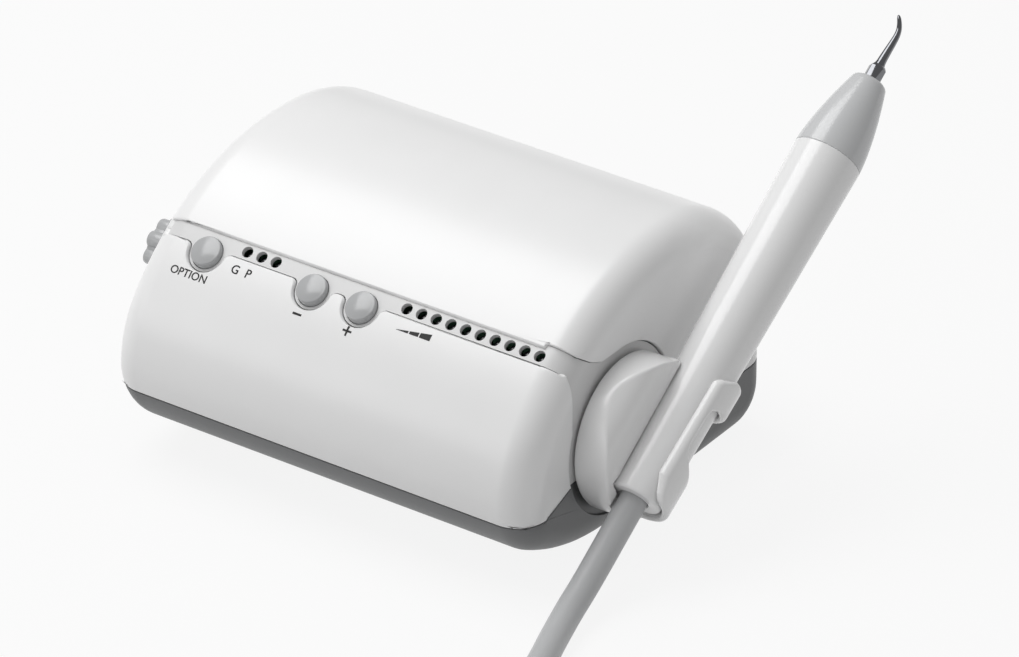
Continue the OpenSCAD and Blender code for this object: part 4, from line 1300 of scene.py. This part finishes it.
class SCALER_OT_knob(bpy.types.Operator):
    """The lobed water knob"""

    bl_idname = "scaler.knob"
    bl_label = "Water knob"

    def execute(self, context):
        s = context.scene.scaler_housing
        radius, thick = s.knob_diameter / MM / 2, s.knob_thickness / MM
        lobe = 2.4

        def reach(a):
            """Radius of the lobed outline at the angle a, as a share of the whole."""
            centre = radius - lobe
            best = (radius - 1.5)
            for k in range(8):
                d = a - math.radians(45 * k)
                side = centre * math.sin(d)
                if math.cos(d) > 0 and abs(side) < lobe:
                    best = max(best, centre * math.cos(d) + math.sqrt(lobe * lobe - side * side))
            return best / radius

        x = -(s.width / MM / 2 - END_TAPER * KNOB_Y) - 0.7
        at = placed(Matrix.Rotation(-math.pi / 2, 3, "Y"), (x, KNOB_Y, KNOB_Z))
        profile = [(0, 0), (radius - 0.6, 0), (radius - 0.1, 0.2), (radius, 0.7), (radius, thick - 0.9),
                   (radius - 0.25, thick - 0.3), (radius - 0.9, thick), (radius - 2.2, thick),
                   (radius - 3.0, thick - 0.5), (0, thick - 0.5)]
        knob = sharpen(turned("water_knob_cap", profile, at, 192, lobes=reach))
        dress(knob, "abs_key_polished", "knob", ["water_knob"])
        return {"FINISHED"}


class SCALER_OT_holder(bpy.types.Operator):
    """Disc and handpiece clip, one moulding"""

    bl_idname = "scaler.holder"
    bl_label = "Holder"

    def execute(self, context):
        p = context.scene.scaler_handpiece
        radius = p.disc_diameter / MM / 2
        thick = p.disc_thickness / MM
        wall, gap = p.clip_wall / MM, p.clip_gap / MM
        matrix = on_handpiece()
        axis_x = matrix.translation[0]
        face = -3.28
        back = face - thick
        tail_r, joint_r, length = p.tail_diameter / MM / 2, p.joint_diameter / MM / 2, p.body_length / MM
        cord_r = p.cable_diameter / MM / 2

        def body_radius(s):
            return tail_r + (joint_r - tail_r) * (s + HANDPIECE_END) / length

        mouth = [(6.5, -10.5), (5.6, -13), (4.6, -15.5), (3, -18), (-3, -25), (30, -30), (30, 40),
                 (6.5, 40)]
        window = [(4, 1), (3, -1.5), (0, -4), (-6, -7), (-14, -9), (-40, -9), (-40, 14), (1, 14),
                  (3.4, 12.6), (4, 10)]

        def field(q):
            """q holds x from the handpiece's axis, w square to it away from the clip, and s along it."""
            u, w, s = q[:, 0], q[:, 1], q[:, 2]
            disc = smax(np.hypot(w, s) - radius, smax(back - u, u - face, 0.8), 0.9)
            half, corner = radius + 0.6, 9.2
            du, dw = u - (face - corner), np.abs(w) - (half - corner)
            outside = np.hypot(np.maximum(du, 0), np.maximum(dw, 0))
            bar = outside + np.minimum(np.maximum(du, dw), 0) - corner
            disc = smax(disc, bar, 0.5)
            r = np.hypot(u, w)
            inner = body_radius(s) + gap
            sleeve = smax(r - inner - wall, inner - r, 0.5)
            low_end = -18.3 + 1.1 * np.clip(w / 8, -1, 1)
            high_end = 24.5 - 3.0 * np.clip(w / 6, 0, 1)
            sleeve = smax(sleeve, smax(low_end - s, s - high_end, 0.5), 1.6)
            gape = smax(polygon_distance(w, s, mouth), face - 0.1 - u, 0.5)
            sleeve = smax(sleeve, -gape, 1.3)
            slot = smax(polygon_distance(w, s, window), 3 - u, 0.5)
            sleeve = smax(sleeve, -slot, 1.5)
            sleeve = smax(sleeve, back + 2.5 - u, 0.5)
            whole = smin(disc, sleeve, 1.2)
            channel = np.minimum(inner, cord_r + 0.7 + np.maximum(s + 19.6, 0) * 6)
            return np.maximum(whole, channel - r)

        def to_frame(q):
            r = np.array(matrix.to_3x3())
            local = np.column_stack([q[:, 0], -q[:, 1], q[:, 2]])
            return local @ r.T + np.array(matrix.translation)

        tell(abs(axis_x - 87.39) < 3, "the holder has moved off the end face")
        clip = solid_from("holder_moulding", field, (-16, -25.5, -25), (14.5, 25.5, 26), 0.55, to_frame)
        dress(clip, "abs_white_polished", "holder", ["holder_clip"])
        return {"FINISHED"}


class SCALER_OT_handpiece(bpy.types.Operator):
    """White body, grey nose and metal tip of the handpiece"""

    bl_idname = "scaler.handpiece"
    bl_label = "Handpiece"

    def execute(self, context):
        p = context.scene.scaler_handpiece
        at = on_handpiece()
        t, j, length = p.tail_diameter / MM / 2, p.joint_diameter / MM / 2, p.body_length / MM
        low, joint = -HANDPIECE_END, length - HANDPIECE_END
        mouth = p.cable_diameter / MM / 2 + 0.15
        n, nose = p.nose_diameter / MM / 2, p.nose_length / MM
        body = arc_profile((t - 0.8, low + 0.8), 0.8, -90, 0, 6)
        body += [(t + (j - t) * k / 12, low + 0.8 + (length - 1.0) * k / 12) for k in range(1, 13)]
        body += [(j - 0.2, joint), (j - 1.7, joint), (j - 1.7, joint - 3), (t - 2.0, low + 7),
                 (t - 2.0, low + 3), (mouth, low + 3)]
        body += arc_profile((mouth + 0.6, low + 0.6), 0.6, 180, 270, 5)
        shell = sharpen(turned("handpiece_shell", body, at, 128))
        dress(shell, "abs_white_polished", "handpiece", ["handpiece_body"])

        curve = [(j - 0.2, joint + 0.02), (j, joint + 0.2)]
        for k in range(1, 27):
            u = k / 26 * NOSE_SHARE
            curve.append((j - (j - n) * u ** NOSE_CURVE, joint + nose * u))
        r0, z0 = curve[-1]
        mouth_z = joint + nose
        curve += [(r0 - 0.35, z0 + 0.55), (r0 - 0.9, z0 + 0.95), (r0 - 1.7, mouth_z), (2.75, mouth_z),
                  (2.6, mouth_z - 0.15), (2.6, mouth_z - 6), (4.1, mouth_z - 8), (6.9, joint + 2),
                  (6.9, joint - 6.9), (j - 1.8, joint - 6.9), (j - 1.8, joint + 0.02)]
        cone = sharpen(turned("nose_shell", curve, at, 128))
        dress(cone, "nose_polished", "handpiece", ["nose_cone"])

        end = joint + nose + 0.1
        across = 2.35 / math.cos(math.radians(30))
        angles = [math.radians(60 * k + 12) for k in range(6)]
        hexagon = [(across * math.cos(a), across * math.sin(a)) for a in angles]
        points = []
        for z, f in ((0, 0.97), (0.3, 1.0), (4.1, 1.0), (5.1, 0.74)):
            points += [(x * f, y * f, end + z) for x, y in hexagon]
        faces = [list(reversed(range(6))), [18 + k for k in range(6)]]
        for low in (0, 6, 12):
            faces += [[low + k, low + (k + 1) % 6, low + 6 + (k + 1) % 6, low + 6 + k] for k in range(6)]
        nut = outward(moved(make("tip_nut", points, faces), at))
        bevel(nut, 0.12, 2, 20)

        bend = [(0, 0, 4.9), (0, 0, 6.0), (0, 0, 7.5), (0.05, 0.05, 10), (0.15, 0.1, 13), (0.2, 0.05, 15.5),
                (0.0, -0.25, 17.4), (-0.5, -0.8, 19.0), (-1.15, -1.3, 20.3), (-1.75, -1.6, 21.2)]
        path = [np.array(q) + np.array([0, 0, end]) for q in between(bend, 0, len(bend) - 1, 5)]
        share = np.linspace(0, 1, len(path))
        radii = np.interp(share, [0, 0.06, 0.14, 0.3, 0.55, 0.75, 0.9, 0.97, 1],
                          [1.72, 1.6, 1.4, 1.25, 1.05, 0.85, 0.7, 0.45, 0.16])
        flatten = list(np.interp(share, [0, 0.3, 0.6, 1], [1, 1, 0.85, 0.8]))
        blade = tube("tip_blade", path, radii, 20, up=(1, 0, 0), flatten=flatten)
        moved(blade, at)
        tip = join("tip", [nut, blade])
        dress(tip, "steel_mirror", "handpiece", ["scaler_tip"])
        return {"FINISHED"}


def print_plate(name, flat, h, x0, s0, proud=0.04, deep=0.06):
    """Lays a flat mesh, in mm with y uphill, on the skin as a thin printed film."""
    bm = bmesh.new()
    bm.from_mesh(flat)
    bmesh.ops.remove_doubles(bm, verts=bm.verts, dist=1e-4)
    bmesh.ops.triangulate(bm, faces=bm.faces)
    made = bmesh.ops.extrude_face_region(bm, geom=bm.faces[:])
    top = [g for g in made["geom"] if isinstance(g, bmesh.types.BMVert)]
    bm.verts.index_update()
    high = {v.index for v in top}
    for v in bm.verts:
        inset = -proud if v.index in high else deep
        p, _ = h.strip_point(s0 - v.co.y, inset)
        v.co = Vector((x0 + v.co.x, p[0], p[1])) * MM
    bmesh.ops.recalc_face_normals(bm, faces=bm.faces)
    mesh = bpy.data.meshes.new(name)
    bm.to_mesh(mesh)
    bm.free()
    obj = linked(name, mesh)
    return obj


def flat_shape(loops):
    """A flat mesh from closed loops of (x, y) in mm."""
    mesh = bpy.data.meshes.new("flat")
    points, faces = [], []
    for loop in loops:
        faces.append(list(range(len(points), len(points) + len(loop))))
        points += [(x, y, 0) for x, y in loop]
    mesh.from_pydata(points, [], faces)
    return mesh


def words(text, height, spacing=1.0):
    """A flat mesh of plain lettering, centred, with capitals of that height in mm."""
    data = bpy.data.curves.new("lettering", "FONT")
    data.body, data.size = text, height / 0.69
    data.align_x, data.align_y = "CENTER", "CENTER"
    data.space_character = spacing
    data.offset = 0.03
    data.resolution_u = 4
    obj = linked("lettering", data)
    bpy.context.view_layer.update()
    mesh = bpy.data.meshes.new_from_object(obj.evaluated_get(bpy.context.evaluated_depsgraph_get()))
    bpy.data.objects.remove(obj)
    return mesh


class SCALER_OT_marks(bpy.types.Operator):
    """Marks printed by the keys: option, the mode letters, minus, plus and the rising level"""

    bl_idname = "scaler.marks"
    bl_label = "Printed marks"

    def execute(self, context):
        h = housing_of(context)
        front = MADE["front_shell"]

        def place(point):
            hit, _ = place_on(POINTS[point], front)
            skin = np.array(hit[1:])
            best = min(np.arange(0, 40, 0.05),
                       key=lambda s: np.linalg.norm(h.strip_point(s, 0)[0] - skin))
            return hit[0], float(best)

        bar = [(-1.5, -0.32), (1.5, -0.32), (1.5, 0.32), (-1.5, 0.32)]
        cross = [(-1.5, -0.3), (-0.3, -0.3), (-0.3, -1.5), (0.3, -1.5), (0.3, -0.3), (1.5, -0.3),
                 (1.5, 0.3), (0.3, 0.3), (0.3, 1.5), (-0.3, 1.5), (-0.3, 0.3), (-1.5, 0.3)]
        wedge = []
        for a, b in ((-5.9, -1.9), (-1.5, 1.6), (2.0, 5.6)):
            rise = [(x + 5.9) / 11.5 * 1.9 for x in (a, b)]
            wedge.append([(a, -0.95), (b, -0.95), (b, -0.95 + rise[1] + 0.1), (a, -0.95 + rise[0] + 0.1)])
        for name, point, flat in (
                ("mark_minus", "minus_mark", flat_shape([bar])),
                ("mark_plus", "plus_mark", flat_shape([cross])),
                ("mark_level", "level_mark", flat_shape(wedge)),
                ("mark_option", "option_word", words("OPTION", 2.35)),
                ("mark_mode", "mode_letters", words("G P", 2.6, 1.3))):
            x, s = place(point)
            obj = print_plate(name, flat, h, x, s)
            dress(obj, "pad_print_black", "unit")
        return {"FINISHED"}


# ---------------------------------------------------------------- what repeats, grown by Geometry Nodes
def tree_of(name, inputs):
    """An empty Geometry Nodes tree with named inputs, and its input node."""
    tree = bpy.data.node_groups.new(name, "GeometryNodeTree")
    tree.interface.new_socket("Geometry", in_out="OUTPUT", socket_type="NodeSocketGeometry")
    for label, kind in inputs.items():
        tree.interface.new_socket(label, in_out="INPUT", socket_type="NodeSocket" + kind)
    return tree, tree.nodes.new("NodeGroupInput").outputs


def share_of(tree, socket, factor):
    return add(tree, "ShaderNodeMath", {0: socket, 1: factor}, operation="MULTIPLY").outputs[0]


def less(tree, a, b):
    return add(tree, "ShaderNodeMath", {0: a, 1: b}, operation="SUBTRACT").outputs[0]


def upright(tree, height, geometry, part=1.0):
    """Lifts a mesh by a share of a height."""
    lift = add(tree, "ShaderNodeCombineXYZ", {"Z": share_of(tree, height, part)})
    lifted = add(tree, "GeometryNodeTransform", {"Geometry": geometry, "Translation": lift.outputs[0]})
    return lifted.outputs[0]


def end_tree(tree, points, piece, finish):
    """Sets the piece on the points, makes it real and gives it its material."""
    placed_pieces = add(tree, "GeometryNodeInstanceOnPoints", {"Points": points, "Instance": piece})
    real = add(tree, "GeometryNodeRealizeInstances", {0: placed_pieces.outputs[0]})
    dressed = add(tree, "GeometryNodeSetMaterial", {"Geometry": real.outputs[0], "Material": finish})
    add(tree, "NodeGroupOutput", {0: dressed.outputs[0]})
    return tree


def lamp_row_tree():
    """A row of lamps: a flanged body with a round top, repeated at the pitch."""
    tree, given = tree_of("lamp_row", {"Count": "Int", "Pitch": "Float", "Diameter": "Float",
                                       "Flange": "Float", "Height": "Float", "Finish": "Material"})
    step = add(tree, "ShaderNodeCombineXYZ", {"X": given["Pitch"]})
    line = add(tree, "GeometryNodeMeshLine", {"Count": given["Count"], "Offset": step.outputs[0]},
               mode="OFFSET")
    radius = share_of(tree, given["Diameter"], 0.5)
    straight = less(tree, given["Height"], radius)
    low = less(tree, straight, 3 * MM)
    body = add(tree, "GeometryNodeMeshCylinder", {"Vertices": 32, "Radius": radius, "Depth": straight})
    flange = share_of(tree, given["Flange"], 0.5)
    rim = add(tree, "GeometryNodeMeshCylinder", {"Vertices": 32, "Radius": flange, "Depth": low})
    top = add(tree, "GeometryNodeMeshUVSphere", {"Segments": 32, "Rings": 16, "Radius": radius})
    whole = tree.nodes.new("GeometryNodeJoinGeometry")
    for part in (upright(tree, straight, body.outputs[0], 0.5), upright(tree, low, rim.outputs[0], 0.5),
                 upright(tree, straight, top.outputs[0])):
        tree.links.new(part, whole.inputs[0])
    return end_tree(tree, line.outputs[0], whole.outputs[0], given["Finish"])


def foot_grid_tree():
    """Four tapered feet at the corners of a rectangle."""
    tree, given = tree_of("foot_grid", {"Length": "Float", "Depth": "Float", "Top": "Float",
                                        "Bottom": "Float", "Height": "Float", "Finish": "Material"})
    grid = add(tree, "GeometryNodeMeshGrid", {"Size X": given["Length"], "Size Y": given["Depth"],
                                              "Vertices X": 2, "Vertices Y": 2})
    top, bottom = (share_of(tree, given[name], 0.5) for name in ("Top", "Bottom"))
    foot = add(tree, "GeometryNodeMeshCone", {"Vertices": 48, "Radius Top": top, "Radius Bottom": bottom,
                                              "Depth": given["Height"]})
    return end_tree(tree, grid.outputs[0], foot.outputs[0], given["Finish"])


def grown(name, tree, finish, **values):
    """The plain mesh that a tree grows; each input is set by its socket's identifier."""
    values["Finish"] = finish_named(finish)
    obj = linked(name, bpy.data.meshes.new(name))
    grower = obj.modifiers.new("grow", "NODES")
    grower.node_group = tree
    for item in tree.interface.items_tree:
        if item.in_out == "INPUT":
            grower[item.identifier] = values[item.name]
    mesh = bpy.data.meshes.new_from_object(obj.evaluated_get(bpy.context.evaluated_depsgraph_get()))
    obj.modifiers.remove(grower)
    obj.data = mesh
    mesh.shade_smooth()
    mesh.set_sharp_from_angle(angle=math.radians(40))
    return obj


class SCALER_OT_rows(bpy.types.Operator):
    """Lamp rows and feet, grown by Geometry Nodes"""

    bl_idname = "scaler.rows"
    bl_label = "Lamps and feet"

    def execute(self, context):
        h = housing_of(context)
        s = context.scene.scaler_housing
        rise = h.strip_point(LAMP_ROW, h.recess)[0] - h.strip_point(KEY_ROW, h.recess)[0]
        rise = float(rise @ np.array([-math.sin(CONTROL_SLOPE), math.cos(CONTROL_SLOPE)]))
        top = s.strip_thickness / MM + LAMP_GAP
        height = BOARD_DEPTH + rise - top
        tree = lamp_row_tree()
        for name, count, start in (("mode_lamp_row", 3, MODE_LAMP), ("level_lamp_row", 10, LEVEL_LAMP)):
            row = grown(name, tree, "lamp_epoxy_smoked", Count=count, Pitch=s.lamp_pitch, Diameter=s.lamp,
                        Flange=s.lamp + 0.4 * MM, Height=height * MM)
            moved(row, at_strip(h, start, LAMP_ROW, h.recess) @ Matrix.Translation((0, 0, -top - height)))
            dress(row, "lamp_epoxy_smoked", "unit", [name[:-4] + "s"])
        feet = grown("feet", foot_grid_tree(), "rubber_black", Length=(FOOT_X[1] - FOOT_X[0]) * MM,
                     Depth=(FOOT_Y[1] - FOOT_Y[0]) * MM, Top=s.foot_diameter,
                     Bottom=s.foot_diameter - FOOT_TAPER * MM, Height=s.foot)
        moved(feet, Matrix.Translation((sum(FOOT_X) / 2, sum(FOOT_Y) / 2, 0)))
        dress(feet, "rubber_black", "unit", ["rubber_feet"])
        return {"FINISHED"}


class SCALER_OT_fittings(bpy.types.Operator):
    """Finishes of the CAD nodes that keep their own shape"""

    bl_idname = "scaler.fittings"
    bl_label = "Fittings"

    def execute(self, context):
        for node, finish in CAD_FINISH.items():
            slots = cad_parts[node].data.materials
            slots.clear()
            slots.append(finish_named(finish))
        return {"FINISHED"}


class SCALER_PT_panel(bpy.types.Panel):
    """Lists the pieces of the scaler"""

    bl_idname = "SCALER_PT_panel"
    bl_label = "Ultrasonic scaler"
    bl_space_type = "VIEW_3D"
    bl_region_type = "UI"
    bl_category = "Scaler"

    def draw(self, context):
        layout = self.layout
        for op in OPERATORS:
            layout.operator(op.bl_idname)
        scene = context.scene
        for group in (scene.scaler_housing, scene.scaler_handpiece, scene.scaler_colours):
            column = layout.column()
            for name in group.__annotations__:
                column.prop(group, name)


OPERATORS = (SCALER_OT_stage, SCALER_OT_cables, SCALER_OT_covers, SCALER_OT_keys, SCALER_OT_knob,
             SCALER_OT_holder, SCALER_OT_handpiece, SCALER_OT_marks, SCALER_OT_rows, SCALER_OT_fittings)
GROUPS = (ScalerHousingSizes, ScalerHandpieceSizes, ScalerColours)


def register():
    for c in GROUPS + OPERATORS + (SCALER_PT_panel,):
        bpy.utils.register_class(c)
    bpy.types.Scene.scaler_housing = PointerProperty(type=ScalerHousingSizes)
    bpy.types.Scene.scaler_handpiece = PointerProperty(type=ScalerHandpieceSizes)
    bpy.types.Scene.scaler_colours = PointerProperty(type=ScalerColours)


def unregister():
    del bpy.types.Scene.scaler_colours, bpy.types.Scene.scaler_handpiece, bpy.types.Scene.scaler_housing
    for c in reversed(GROUPS + OPERATORS + (SCALER_PT_panel,)):
        bpy.utils.unregister_class(c)


def main():
    register()
    for op in OPERATORS:
        area, name = op.bl_idname.split(".")
        getattr(getattr(bpy.ops, area), name)()
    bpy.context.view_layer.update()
    write_points(bpy.context)


if __name__ == "__main__":
    main()
